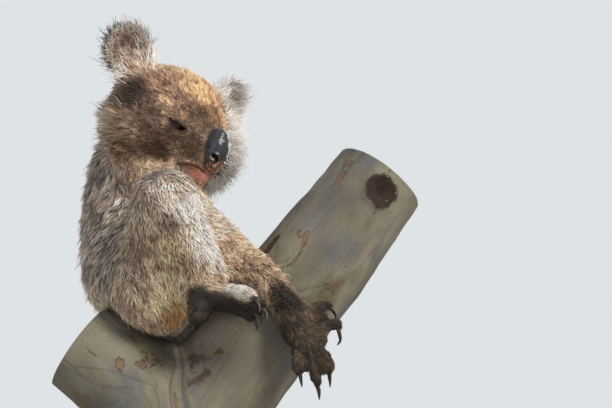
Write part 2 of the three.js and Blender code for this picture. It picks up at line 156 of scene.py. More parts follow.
class Surface:
    """A mesh as arrays, with the neighbours of each vertex."""

    def __init__(self, mesh):
        self.mesh = mesh
        self.co = read(mesh.vertices, "co", 3)
        self.edges = read(mesh.edges, "vertices", 2, np.int64)
        a, b = self.edges.T
        count = len(self.co)
        self.touching = np.maximum(np.bincount(a, minlength=count) + np.bincount(b, minlength=count), 1)
        self.refresh()

    def refresh(self):
        """Writes the places back to the mesh and reads its new normals."""
        write_places(self.mesh, self.co)
        self.mesh.update()
        self.normal = read(self.mesh.vertices, "normal", 3)

    def spread(self, values, rounds, share=1.0):
        """Values drawn towards the mean of their neighbours, round after round."""
        shape = np.shape(values)
        flat = np.array(values, float).reshape(len(self.co), -1)
        a, b = self.edges.T
        for _ in range(rounds):
            for column in flat.T:
                total = np.bincount(a, column[b], len(column)) + np.bincount(b, column[a], len(column))
                column += share * (total / self.touching - column)
        return flat.reshape(shape)

    def along(self, directions):
        """Directions laid into the surface."""
        return unit(directions - dot(directions, self.normal)[:, None] * self.normal)


def line_distance(points, line):
    """Distance to a bent line, the place along it as a share, and the nearest place on it."""
    line = np.asarray(line, float)
    best = np.full(len(points), np.inf)
    share = np.zeros(len(points))
    nearest = np.zeros((len(points), 3))
    for i, (start, end) in enumerate(zip(line[:-1], line[1:])):
        t = np.clip((points - start) @ (end - start) / dot(end - start, end - start), 0, 1)
        place = start + t[:, None] * (end - start)
        gap = np.linalg.norm(points - place, axis=1)
        closer = gap < best
        best[closer] = gap[closer]
        share[closer] = (i + t[closer]) / (len(line) - 1)
        nearest[closer] = place[closer]
    return best, share, nearest


def add_object(name, mesh):
    made = bpy.data.objects.new(name, mesh)
    bpy.context.scene.collection.objects.link(made)
    return made


def mesh_from(name, vertices, faces, smooth=True):
    """A mesh from a vertex array and either a list of faces or one array of equal faces."""
    mesh = bpy.data.meshes.new(name)
    faces = faces.tolist() if isinstance(faces, np.ndarray) else faces
    mesh.from_pydata(np.asarray(vertices).tolist(), [], faces)
    mesh.polygons.foreach_set("use_smooth", [smooth] * len(mesh.polygons))
    return mesh


def shade_smooth(mesh):
    mesh.polygons.foreach_set("use_smooth", [True] * len(mesh.polygons))


def working(mesh):
    """A working mesh that holds a mesh's facets."""
    bm = bmesh.new()
    bm.from_mesh(mesh)
    return bm


def keep(bm, mesh):
    """Writes a working mesh to a mesh, and frees it."""
    bm.to_mesh(mesh)
    bm.free()


def mesh_of(bm, name):
    """A new mesh from a working one, which is freed."""
    mesh = bpy.data.meshes.new(name)
    keep(bm, mesh)
    return mesh


# Kinds of attribute, and the field that holds their values, by the width of a value.
KINDS = {1: ("FLOAT", "value"), 3: ("FLOAT_VECTOR", "vector"), 4: ("FLOAT_COLOR", "color")}


def set_attribute(mesh, name, values):
    kind, field = KINDS[np.size(values) // len(values)]
    attribute = mesh.attributes.new(name, kind, "POINT")
    attribute.data.foreach_set(field, np.ascontiguousarray(values, np.float32).ravel())


def get_attribute(mesh, name, width=1):
    return read(mesh.attributes[name].data, KINDS[width][1], width).squeeze()


def with_alpha(colours):
    return np.column_stack([colours, np.ones(len(colours))])


def baked(obj, name):
    """A plain mesh object from what obj's modifiers make of it; obj itself is removed."""
    graph = bpy.context.evaluated_depsgraph_get()
    mesh = bpy.data.meshes.new_from_object(obj.evaluated_get(graph))
    bpy.data.objects.remove(obj)
    mesh.name = name
    return add_object(name, mesh)


def remeshed(mesh, voxel, name):
    """One closed skin of even facets round all that a mesh holds."""
    rough = add_object("rough", mesh)
    remesh = rough.modifiers.new("remesh", "REMESH")
    remesh.mode = "VOXEL"
    remesh.voxel_size = voxel
    return baked(rough, name)


def skin_tree():
    """The skin, ready to be searched for the nearest place on it."""
    return BVHTree.FromObject(bpy.data.objects["skin"], bpy.context.evaluated_depsgraph_get())


def finish_piece(obj, material, nodes=()):
    """The last step for every piece: its finish, its body and the nodes that it stands for."""
    if material is not None:
        obj.data.materials.clear()
        obj.data.materials.append(material)
    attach(obj, "root")
    if nodes:
        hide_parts(*nodes)


def unwrap(obj):
    """Unwraps a mesh by its own shape into a map named OFBake."""
    obj.data.uv_layers.new(name="OFBake")
    bpy.context.view_layer.objects.active = obj
    obj.select_set(True)
    bpy.ops.object.mode_set(mode="EDIT")
    bpy.ops.mesh.select_all(action="SELECT")
    bpy.ops.uv.smart_project(angle_limit=math.radians(66), island_margin=0.003)
    bpy.ops.object.mode_set(mode="OBJECT")
    obj.select_set(False)


# ---- Places on the animal ----------------------------------------------------------------------------------

EYE_IN_HEAD = np.array([46, 0, -9]) * MM
HEAD = Axes(
    (centre("eye_left") + centre("eye_right")) / 2,
    forward=(0.686, -0.623, -0.376),
    up=(0.271, -0.261, 0.927),
)
HEAD.origin = HEAD.world(-EYE_IN_HEAD)
NOSE_PLACE = HEAD.world(np.array([80.5, 1.8, -25]) * MM)
BODY_FORWARD = np.array([math.cos(math.radians(-12)), math.sin(math.radians(-12)), 0])


def on_head(forward, left, up):
    """A place on the head, in millimetres from its centre."""
    return HEAD.world(np.array([forward, left, up]) * MM)


def in_body(*place):
    return np.array(place) * MM


# Bones of each limb from the trunk outwards: the coat lies along them.
LIMBS = {
    "arm_right": np.array([(-96, -44, 562), (-24, -52, 493), (55, -72, 409)]) * MM,
    "arm_left": np.array([(-92, 60, 570), (-24, 72, 500), (64, 80, 466)]) * MM,
    "leg_right": np.array([(-76, -112, 515), (-62, -106, 478), (-33, -98, 442)]) * MM,
    "leg_left": np.array([(-54, 122, 508), (-44, 112, 466), (-32, 102, 424)]) * MM,
}
# Where each paw's middle line runs, the way that its sole faces, and its bare pads with their reach.
Paw = namedtuple("Paw", "heel toes faces pads")
PAWS = {
    "forepaw_right": Paw(
        in_body(52, -71, 413), in_body(76, -75, 362), (-0.2, 0.96, -0.16),
        [(in_body(62, -58, 392), 12), (in_body(76, -64, 366), 11)],
    ),
    "forepaw_left": Paw(
        in_body(58, 80, 467), in_body(92, 74, 501), (-0.19, -0.93, 0.02),
        [(in_body(72, 66, 480), 12), (in_body(92, 62, 500), 11)],
    ),
    "hindpaw_right": Paw(
        in_body(-50, -100, 424), in_body(4, -106, 412), (-0.2, -0.36, -0.91),
        [(in_body(-34, -116, 412), 15), (in_body(-40, -112, 388), 11), (in_body(4, -114, 402), 9)],
    ),
    "hindpaw_left": Paw(
        in_body(-46, 102, 404), in_body(14, 94, 389), (-0.13, 0.45, -0.88),
        [(in_body(-32, 112, 392), 17), (in_body(12, 102, 380), 12)],
    ),
}

# A fringe of pale hair hangs over the outer edge of the right foot.
FOOT_FRINGE = [in_body(-26, -120, 428), in_body(-2, -122, 417), in_body(20, -119, 407)]


def digit_lines(part):
    """The line of each clawed digit of a paw, from the paw's middle line to the claw's root."""
    paw = PAWS[part]
    way = paw.toes - paw.heel
    lines = []
    for node in CLAWS:
        if node.startswith(f"claw_{part}_"):
            places = np.array([vertex.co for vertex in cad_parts[node].data.vertices])
            root = places[away_from(paw.heel, places).argmin()]
            share = np.clip((root - paw.heel) @ way / (way @ way), 0.1, 0.75)
            lines.append(np.array([paw.heel + share * way, root]))
    return lines


# The fork of the tree: centre lines and radii, as in the solids.
Limb = namedtuple("Limb", "line radii")
STEM = Limb(
    np.array([(-82, 0, 196), (-84, 0, 280), (-98, 0, 332), (-132, -4, 364), (-170, -8, 390)]) * MM,
    np.array([70, 71, 65, 55, 49]) * MM,
)
BRANCH = Limb(
    np.array([(-92, 0, 250), (-55, 0, 302), (-14, 0, 360), (84, 0, 494), (148, 0, 582)]) * MM,
    np.array([48, 60, 60, 57, 52]) * MM,
)

# A branch stub has healed over into a knot, and old bark has split in a slit.
KNOT = in_body(146, -48, 550)
SLIT = in_body(24, -40, 486)
# Dark patches on the bark under the rump and the foot, each with its reach.
DARK_PATCHES = [
    (in_body(-58, -58, 388), 19), (in_body(-47, -62, 366), 15), (in_body(-44, -64, 344), 13),
    (in_body(-22, -60, 372), 6), (in_body(-26, -62, 360), 8), (in_body(-33, -64, 350), 9),
]


def radius_at(limb, share):
    """The radius of a limb of the tree at a share of its length."""
    return np.interp(share, np.linspace(0, 1, len(limb.radii)), limb.radii)


def out_of_wood(points, clearance):
    """Points moved out to at least the given clearance from the mean surface of the wood."""
    points = points.copy()
    for limb in (STEM, BRANCH):
        gap, share, nearest = line_distance(points, limb.line)
        radius = radius_at(limb, share) + clearance
        inside = gap < radius
        points[inside] = nearest[inside] + unit(points[inside] - nearest[inside]) * radius[inside, None]
    return points


def wood_gap(points):
    """How far points are from the mean surface of the wood."""
    gaps = []
    for limb in (STEM, BRANCH):
        gap, share, _ = line_distance(points, limb.line)
        gaps.append(gap - radius_at(limb, share))
    return np.minimum(*gaps)


# ---- Coat and markings -------------------------------------------------------------------------------------

# Millimetres, degrees and tufts to the square centimetre. depth is how far the skin is below the coat's tips.
Coat = namedtuple("Coat", "length width lift density depth curl tip_light")
COATS = {
    "trunk": Coat(13, 0.64, 30, 21, 7.5, 0.22, 0.40),
    "head": Coat(8.5, 0.49, 28, 53, 4.2, 0.18, 0.32),
    "ear": Coat(11, 0.46, 46, 60, 5.0, 0.22, 0.35),
    "arm": Coat(8.0, 0.43, 34, 44, 4.5, 0.50, 0.55),
    "leg": Coat(8.5, 0.47, 30, 40, 6.0, 0.26, 0.42),
    "forepaw": Coat(5.6, 0.42, 15, 60, 1.8, 0.12, 0.25),
    "hindpaw": Coat(5.4, 0.42, 15, 60, 1.5, 0.10, 0.25),
}
BASE_COLOURS = {
    "trunk": "968a80",
    "head": "8a7462",
    "ear_left": "e0d5cb",
    "ear_right": "eee4d8",
    "arm_left": "b39a84",
    "arm_right": "b99c82",
    "forepaw_left": "6a5846",
    # The right forepaw is darker than the left one by painted shade.
    "forepaw_right": "4c4033",
    "leg_left": "a08d7a",
    "leg_right": "a8947f",
    "hindpaw_left": "7a6853",
    "hindpaw_right": "6a5745",
}
COAT_TIP = "f1e6d6"

# Soft patches of colour on each part: their place in millimetres, on the head from its centre and else in the
# body's frame, their reach in millimetres, their colour and their strength. Later ones lie over earlier ones.
# Besides the coat's markings, these colours carry painted light where the coat lay in sun and painted shade
# where it lay in shade.
PATCHES = {
    "head": [
        ((6, 0, 58), 50, "c3a487", 0.95), ((40, 4, 38), 44, "cb9f78", 0.95),
        ((46, 30, 20), 26, "c09470", 0.9), ((60, -8, 4), 26, "564334", 0.95),
        ((50, 16, 15), 22, "80604a", 0.9), ((64, 9, 3), 18, "6f523d", 0.9),
        ((42, 24, 34), 22, "a58062", 0.85), ((48, -27, 13), 18, "7c6250", 0.85),
        ((24, -46, 30), 26, "96745e", 0.9), ((35, -47, 14), 16, "a3856c", 0.8),
        # (16, -72, 8) is painted shadow of the right ear on the temple.
        ((-44, 0, 14), 54, "93857a", 0.8), ((16, -72, 8), 30, "3a2d26", 1.0),
        ((-2, -56, 46), 22, "c9ad96", 0.9), ((36, -60, -8), 24, "604d40", 0.95),
        ((4, 70, 16), 28, "a08c7b", 0.8), ((30, 66, -18), 44, "f6f0e8", 1.0),
        ((2, 88, -26), 46, "f6f1ea", 1.0), ((18, 74, -58), 42, "f8f4ee", 1.0),
        # (-6, -88, -34) and (22, -66, -54) are painted shade under the head, on the right of the neck.
        ((40, 44, -58), 16, "b39a86", 0.8), ((-6, -88, -34), 34, "8f7d6b", 0.9),
        ((22, -66, -54), 28, "66523f", 0.9), ((64, 0, -74), 22, "a98e78", 0.9),
    ],
    "trunk": [
        ((-30, -8, 560), 84, "f0e9dd", 1.0), ((-34, 60, 560), 70, "f5efe6", 1.0),
        ((-40, 10, 470), 70, "eae0d0", 0.9), ((-150, 20, 410), 90, "c7b79d", 0.8),
        ((-90, -50, 410), 60, "a98d61", 0.9),
    ],
    "arm_right": [
        ((-60, -60, 535), 50, "cdb9a6", 0.9), ((-22, -66, 515), 40, "e6cfb8", 0.95),
        ((8, -72, 482), 32, "d3b393", 0.95), ((4, -90, 450), 28, "88745f", 0.95),
        # (40, -84, 428) and (54, -86, 410) are the wrist's own dark brown, darkened further by painted shade.
        ((30, -82, 454), 20, "a58d76", 0.8), ((40, -84, 428), 22, "3a2e25", 1.0),
        ((54, -86, 410), 32, "15100c", 1.0),
    ],
    "arm_left": [
        ((60, 82, 466), 44, "5c4f45", 0.95),
    ],
    "leg_right": [
        ((-76, -136, 540), 46, "b1a49b", 0.95), ((-60, -146, 506), 30, "e4d3c3", 1.0),
        ((-96, -140, 496), 30, "b3a494", 0.9), ((-66, -140, 484), 20, "6c5e52", 0.95),
        ((-34, -122, 500), 40, "faf5ec", 1.0), ((-24, -114, 470), 36, "faf6ee", 1.0),
        ((-46, -132, 482), 22, "c7b7a4", 0.7), ((-78, -122, 456), 34, "b39d80", 0.95),
        ((-56, -124, 446), 20, "8c765a", 0.9), ((-32, -122, 446), 14, "776146", 0.9),
        ((-78, -92, 420), 36, "c6ae88", 0.9), ((-64, -74, 402), 26, "96703f", 0.9),
    ],
    "leg_left": [
        ((-20, 116, 480), 44, "f1e9dc", 0.95), ((-60, 100, 420), 44, "b39a76", 0.8),
    ],
    # The right forepaw's own dark brown is darkened further by painted shade; (90, -64, 410) is painted
    # shadow on the thumbs.
    "forepaw_right": [
        ((48, -86, 386), 20, "463b2d", 0.9), ((90, -64, 410), 24, "2a2421", 1.0),
        ((54, -84, 410), 22, "15100c", 0.9),
    ],
    "hindpaw_right": [
        ((24, -112, 394), 16, "2c211a", 1.0), ((-26, -120, 430), 16, "cdb999", 1.0),
        ((-12, -124, 424), 14, "eadfcc", 1.0), ((0, -126, 418), 14, "f4eee2", 1.0),
        ((14, -124, 412), 13, "efe6d6", 1.0),
    ],
    "hindpaw_left": [
        ((-10, 112, 404), 32, "cbbda5", 0.9),
    ],
}
# The same on both sides of the face.
PAIRED_PATCHES = [
    ((64, 17, -3), 18, "6b5443", 0.95), ((56, 34, -20), 22, "5a4838", 0.95),
    ((44, 50, -34), 26, "5c4533", 0.9), ((48, 40, -44), 18, "52392a", 0.9),
    ((70, 20, -28), 18, "55432f", 0.95), ((76, 15, -43), 10, "86695a", 0.9),
    # (41, 42, 12) is a painted highlight on the bulge of each brow; (59, 26, -52) is painted shade in each
    # corner of the mouth.
    ((41, 42, 12), 10, "b99876", 1.0), ((59, 26, -52), 8, "150e0a", 1.0),
]
Mark = namedtuple("Mark", "part place reach colour strength")
MARKS = []
for part, patches in PATCHES.items():
    locate = on_head if part == "head" else in_body
    MARKS += [Mark(part, locate(*place), *look) for place, *look in patches]
for side in (LEFT, RIGHT):
    MARKS += [Mark("head", on_head(f, side * l, u), *look) for (f, l, u), *look in PAIRED_PATCHES]
# The coat is dark round each claw.
MARKS += [Mark(claw[5:-2], centre(claw), 15, "28211c", 0.9) for claw in CLAWS]


def family(part):
    return part.split("_")[0]


def part_shares(surface):
    """How much each vertex belongs to each part of flesh, with soft borders."""
    trees = []
    for part in FLESH:
        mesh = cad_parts[part].data
        corners = [p.vertices[:] for p in mesh.polygons]
        trees.append(BVHTree.FromPolygons([v.co for v in mesh.vertices], corners))
    gaps = np.array([[tree.find_nearest(Vector(p))[3] for tree in trees] for p in surface.co])
    own = np.eye(len(FLESH))[gaps.argmin(1)]
    return dict(zip(FLESH, surface.spread(own, 8).T))


def coat_values(surface, shares):
    """Length, width, lift and the other measures of the coat at each vertex."""
    weights = sum(shares.values())
    values = {
        field: sum(share * getattr(COATS[family(part)], field) for part, share in shares.items()) / weights
        for field in Coat._fields
    }
    forward, left, up = (HEAD.local(surface.co) / MM).T
    on_face = shares["head"] * ramp(forward, 6, 40)
    near_nose = shares["head"] * ramp(away_from(NOSE_PLACE, surface.co), 48 * MM, 22 * MM)
    for field, at_face, at_nose in (
        ("length", 5.2, 2.8), ("width", 0.42, 0.34), ("lift", 22, 14), ("density", 80, 100),
        ("depth", 3.0, 1.4),
    ):
        values[field] += on_face * (at_face - values[field])
        values[field] += near_nose * (at_nose - values[field])
    ruff = shares["head"] * ramp(left, 44, 64) * ramp(up, 30, 4) * ramp(forward, 56, 36)
    ruff = np.maximum(ruff, shares["head"] * ramp(-left, 62, 76) * ramp(up, 4, -16) * ramp(forward, 30, 8))
    values["length"] += ruff * 9
    gap, _, _ = line_distance(surface.co, FOOT_FRINGE)
    values["length"] += shares["hindpaw_right"] * 3 * ramp(gap, 12 * MM, 6 * MM)
    values["lift"] += ruff * 16
    for part in PAWS:
        crease, share, _ = digit_places(surface.co, part)
        on_digit = shares[part] * ramp(share, 0.15, 0.6)
        at_ends = {"length": 4.4, "width": 0.36, "lift": 15, "density": 74, "curl": 0.06}
        for field, at_end in at_ends.items():
            values[field] += on_digit * (at_end - values[field])
        values["length"] *= 1 - 0.35 * crease * shares[part]
        values["density"] *= 1 - 0.6 * crease * shares[part]
    chest = shares["trunk"] * ramp(surface.normal @ BODY_FORWARD, 0.1, 0.7)
    values["length"] += chest * ramp(surface.co[:, 2], 0.5, 0.56) * 5
    return values


def digit_places(points, part):
    """How deep points of a paw lie in the crease between two digits, how far out, and their digit's way."""
    lines = digit_lines(part)
    gaps, shares = np.array([line_distance(points, line)[:2] for line in lines]).transpose(1, 0, 2)
    order = np.argsort(gaps, axis=0)
    first, second = np.take_along_axis(gaps, order[:2], axis=0)
    share = np.take_along_axis(shares, order[:1], axis=0)[0]
    crease = np.exp(-(((second - first) / (3.6 * MM)) ** 2)) * ramp(share, 0.2, 0.45)
    ways = np.array([unit(line[1] - line[0]) for line in lines])
    return crease, share, ways[order[0]]


def lie_of_coat(surface, shares):
    """The way that the coat lies: back from the nose, down the body, along the limbs and out to the claws."""
    down = np.array([0, 0, -1.0])
    lie = shares["trunk"][:, None] * unit(down - 0.25 * BODY_FORWARD)
    lie += shares["head"][:, None] * unit(surface.co - on_head(78, 0, -14))
    for ear in EARS:
        root = centre(ear) + 0.35 * (HEAD.origin - centre(ear))
        lie += shares[ear][:, None] * unit(surface.co - root)
    for limb, line in LIMBS.items():
        _, _, nearest = line_distance(surface.co, line)
        way = unit(line[-1] - nearest + unit(line[-1] - line[0]) * 10 * MM)
        if limb.startswith("leg"):
            way = unit(way + 0.6 * down)
        lie += shares[limb][:, None] * way
    for part, paw in PAWS.items():
        _, share, way = digit_places(surface.co, part)
        way = unit(paw.toes - paw.heel) + ramp(share, 0.0, 0.5)[:, None] * (way - unit(paw.toes - paw.heel))
        lie += shares[part][:, None] * way
    return surface.along(surface.spread(surface.along(lie), 14))


def tint(colours, weight, hex_colour):
    """Draws colours towards another one, in place."""
    colours += weight[:, None] * (linear(hex_colour) - colours)


def marked_colours(surface, shares):
    """Colour of skin and coat alike: the base of each part, its marks, and soft mottling."""
    colours = sum(share[:, None] * linear(BASE_COLOURS[part]) for part, share in shares.items())
    front = shares["trunk"] * ramp(surface.normal @ BODY_FORWARD, 0.15, 0.75)
    tint(colours, front, "e9e0d2")
    for mark in MARKS:
        gap = away_from(mark.place, surface.co) / (mark.reach * MM)
        weight = mark.strength * shares[mark.part] * ramp(gap, 1.0, 0.35)
        tint(colours, weight, mark.colour)
    for ear in EARS:
        # The cup faces forward: dark brown in its middle, deepened by painted shadow most in the right ear;
        # white round its rim; the back is grey.
        facing = surface.normal @ HEAD.turn((1, 0, 0))
        away = away_from(centre(ear), surface.co) / MM
        cup = shares[ear] * ramp(facing, 0.0, 0.5) * ramp(away, 27, 16)
        # The right ear's cup carries more of the painted shadow.
        strength = 0.92 if ear == "ear_right" else 0.5
        tint(colours, strength * cup, "6f4f3f")
        back = shares[ear] * ramp(facing, -0.2, -0.8)
        tint(colours, 0.6 * back, "a39488")
    for part in PAWS:
        # Painted shade in the creases between the digits.
        colours *= 1 - 0.75 * (shares[part] * digit_places(surface.co, part)[0] ** 3)[:, None]
    mottle = 0.17 * noise_at(surface.co, 15 * MM, 1) + 0.17 * noise_at(surface.co, 5 * MM, 2)
    # The outside of the legs is streaked with darker hair, down the way that it lies.
    legs = shares["leg_left"] + shares["leg_right"]
    mottle += 0.22 * legs * noise_at(surface.co * (1, 1, 0.35), 7 * MM, 9)
    return np.clip(colours * (1 + mottle[:, None]), 0.004, 0.95)


def bare_shares(surface, shares):
    """Where the skin is bare: under the paws, round the nose and on the lips."""
    bare = np.zeros(len(surface.co))
    for part, paw in PAWS.items():
        facing = surface.normal @ unit(paw.faces)
        sole = ramp(facing, 0.58, 0.78)
        for place, reach in paw.pads:
            gap = away_from(place, surface.co) / (reach * MM)
            sole = np.maximum(sole, ramp(gap, 1.15, 0.98) * ramp(facing, -0.15, 0.2))
        bare = np.maximum(bare, shares[part] * sole)
    gap, _, _ = line_distance(surface.co, FOOT_FRINGE)
    bare *= 1 - shares["hindpaw_right"] * ramp(gap, 11 * MM, 8 * MM)
    local = HEAD.local(surface.co) / MM
    gap, _, _ = line_distance(local, MOUTH_LINE)
    lips = ramp(gap, 3.2, 1.8)
    chin = ramp(np.linalg.norm((local - CHIN) / (16, 22, 8), axis=1), 1.0, 0.8)
    return np.clip(np.maximum.reduce([bare, lips, chin]), 0, 1)


# ---- Skin --------------------------------------------------------------------------------------------------

# The mouth runs back from under the nose to its corner on each side. Millimetres on the head.
MOUTH_SIDE = [
    (88, 0, -52), (82, 6, -50.5), (77, 12.5, -47.5), (71, 18, -47.5), (66, 22, -49.5), (61, 24.5, -51),
]
MOUTH_LINE = np.array([(f, -l, u) for f, l, u in MOUTH_SIDE[:0:-1]] + MOUTH_SIDE, float)
CHIN = np.array([76, 0, -56])

# Swellings and hollows of the face: place on the left side, reach and height, in millimetres.
FACE_FORMS = [
    ((48, 36, 6), 15, 1.8),
    ((64, 24, -17), 9, -1.5),
    ((77, 13, -38), 13, 2.2),
    ((42, 46, -30), 22, 1.2),
    ((57, 31, -28), 10, -1.0),
    ((84, 5, -60), 13, 3.2),
    ((24, 20, 56), 26, 1.0),
]

# The eye is shut but for a slit. Millimetres from the middle of the ball, along the slit and across it.
EYE_OUT = np.array([0.85, 0.49, 0.16])
EYE_INNER_WAY = np.array([0.60, -0.73, -0.33])
BALL_RADIUS = 9.2
BALL_SUNK = 2.8
LID_THICKNESS = 1.6
SLIT_HALF_LENGTH = 10.8
SLIT_HALF_WIDTH = 2.3
SLIT_DROP = 3.2
SLIT_SHIFT = 1.8


def eye_axes(side):
    """The eye's own axes: out of the head, along the slit, and across it."""
    name = "eye_left" if side == LEFT else "eye_right"
    mirrored = np.array([1, side, 1])
    out = unit(HEAD.turn(EYE_OUT * mirrored))
    inner = HEAD.turn(EYE_INNER_WAY * mirrored)
    inner = unit(inner - dot(inner, out) * out)
    above = unit(np.cross(out, inner)) * -side
    return centre(name) - out * BALL_SUNK * MM, out, inner, above


def flesh_mesh(voxel):
    """The solids of flesh grown together into one closed mesh."""
    bm = bmesh.new()
    for part in [*FLESH, "nose", "eye_left", "eye_right"]:
        copy = working(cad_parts[part].data)
        bmesh.ops.remove_doubles(copy, verts=copy.verts, dist=0.02 * MM)
        copy.normal_update()
        grown = 0.6 if part in FLESH else -2.4
        for vertex in copy.verts:
            vertex.co += vertex.normal * grown * MM
        grown_part = mesh_of(copy, "part")
        bm.from_mesh(grown_part)
        bpy.data.meshes.remove(grown_part)
    return remeshed(mesh_of(bm, "flesh"), voxel, "skin")


def refine_face(obj):
    """Splits the skin's faces on the face once, and again round the eyes and mouth."""
    bm = working(obj.data)
    for zone in (face_zone, fine_zone):
        places = np.array([vertex.co for vertex in bm.verts])
        inside = zone(HEAD.local(places) / MM)
        bm.verts.index_update()
        edges = [e for e in bm.edges if inside[e.verts[0].index] and inside[e.verts[1].index]]
        bmesh.ops.subdivide_edges(bm, edges=edges, cuts=1, use_grid_fill=True)
    bmesh.ops.triangulate(bm, faces=[f for f in bm.faces if len(f.verts) > 4])
    keep(bm, obj.data)


def face_zone(local):
    forward, left, up = local.T
    return (forward > 26) & (np.abs(left) < 58) & (up > -78) & (up < 20)


def fine_zone(local):
    near_mouth = line_distance(local, MOUTH_LINE)[0] < 9
    folded = np.column_stack([local[:, 0], np.abs(local[:, 1]), local[:, 2]])
    return near_mouth | (away_from((53, 34, -11), folded) < 16)


def sculpt_face(surface):
    """Brow, cheek and muzzle forms, the mouth's groove and its lips."""
    local = HEAD.local(surface.co) / MM
    push = np.zeros(len(local))
    for place, reach, height in FACE_FORMS:
        for side in (LEFT, RIGHT):
            gap = away_from(np.array(place) * (1, side, 1), local)
            push += height * ramp(gap / reach, 1.0, 0.0)
    _, _, nearest = line_distance(local, MOUTH_LINE)
    away = local - nearest
    normal = surface.normal @ HEAD.rows.T
    sideways = away - dot(away, normal)[:, None] * normal
    gap = np.where(np.linalg.norm(away, axis=1) < 12, np.linalg.norm(sideways, axis=1), 99)
    upper = ramp(away[:, 2], -0.5, 0.5)
    at_corner = ramp(local[:, 0], 74, 64)
    push -= (3.4 + 2.6 * at_corner) * np.exp(-((gap / (1.3 + 1.0 * at_corner)) ** 2))
    push += (0.6 + 0.9 * upper) * np.exp(-(((gap - 3.0) / 1.7) ** 2))
    surface.co += surface.normal * push[:, None] * MM
    surface.refresh()


def sculpt_paws(surface, shares):
    """Parts the digits of each paw with creases, and raises soft pads on its sole."""
    for part, paw in PAWS.items():
        crease, share, way = digit_places(surface.co, part)
        depth = 6.0 if family(part) == "forepaw" else 2.2
        surface.co -= surface.spread(surface.normal, 2) * (depth * MM * crease * shares[part])[:, None]
        surface.co += way * (3 * MM * ramp(share, 0.7, 1.0) * shares[part])[:, None]
        eased = surface.spread(surface.co, 2, 0.4)
        surface.co += shares[part][:, None] * (eased - surface.co)
        push = np.zeros(len(surface.co))
        for place, reach in paw.pads:
            gap = away_from(place, surface.co) / (reach * MM)
            push = np.maximum(push, 4.5 * np.sqrt(np.clip(1 - gap**2, 0, 1)))
        surface.refresh()
        wrinkled = ramp(surface.normal @ unit(paw.faces), 0.3, 0.6) * noise_at(surface.co, 7 * MM, 31)
        surface.co += surface.normal * ((push + 0.9 * wrinkled) * shares[part] * MM)[:, None]
        surface.refresh()


def slit_distance(along, across):
    """Distance past the slit's edge, and from its middle line, and the place along it. In millimetres."""
    along = along - SLIT_SHIFT
    gap = np.abs(across + SLIT_DROP - 0.022 * along**2)
    opening = SLIT_HALF_WIDTH * (1 - (along / SLIT_HALF_LENGTH) ** 2) * (1 + 0.05 * along)
    return gap - opening, gap, along


def sculpt_lids(surface, side):
    """Wraps the skin over the eyeball and opens the slit between the lids."""
    ball, out, inner, above = eye_axes(side)
    offset = (surface.co - ball) / MM
    along, across, height = offset @ inner, offset @ above, offset @ out
    reach = np.hypot(along, across)
    near = (reach < 19) & (height > -2)
    lid = BALL_RADIUS + LID_THICKNESS
    dome = np.sqrt(np.maximum(lid**2 - reach**2, 0))
    softness = 3.0
    blend = np.clip(0.5 + 0.5 * (dome - height) / softness, 0, 1)
    raised = height + (dome - height) * blend + softness * blend * (1 - blend)
    ball_height = np.sqrt(np.maximum(BALL_RADIUS**2 - reach**2, 0))
    past_slit, gap, along = slit_distance(along, across)
    in_slit = ramp(past_slit, 0.35, -0.3) * (np.abs(along) < SLIT_HALF_LENGTH)
    rim = np.exp(-(((past_slit - 1.0) / 0.9) ** 2)) * ramp(np.abs(along), 12.5, 9)
    crease = np.exp(-((gap / 1.0) ** 2)) * ramp(np.abs(along), 14.5, 10.5) * ramp(np.abs(along), 8.5, 10.5)
    fold = np.exp(-(((across - 5.2 - 0.02 * along**2) / 1.2) ** 2)) * ramp(np.abs(along), 12, 8)
    raised += 0.6 * rim - 1.3 * crease - 0.9 * fold
    raised += in_slit * (ball_height - 1.8 - raised)
    share = near * ramp(reach, 18, 14)
    surface.co += out * ((raised - height) * share * MM)[:, None]
    surface.refresh()


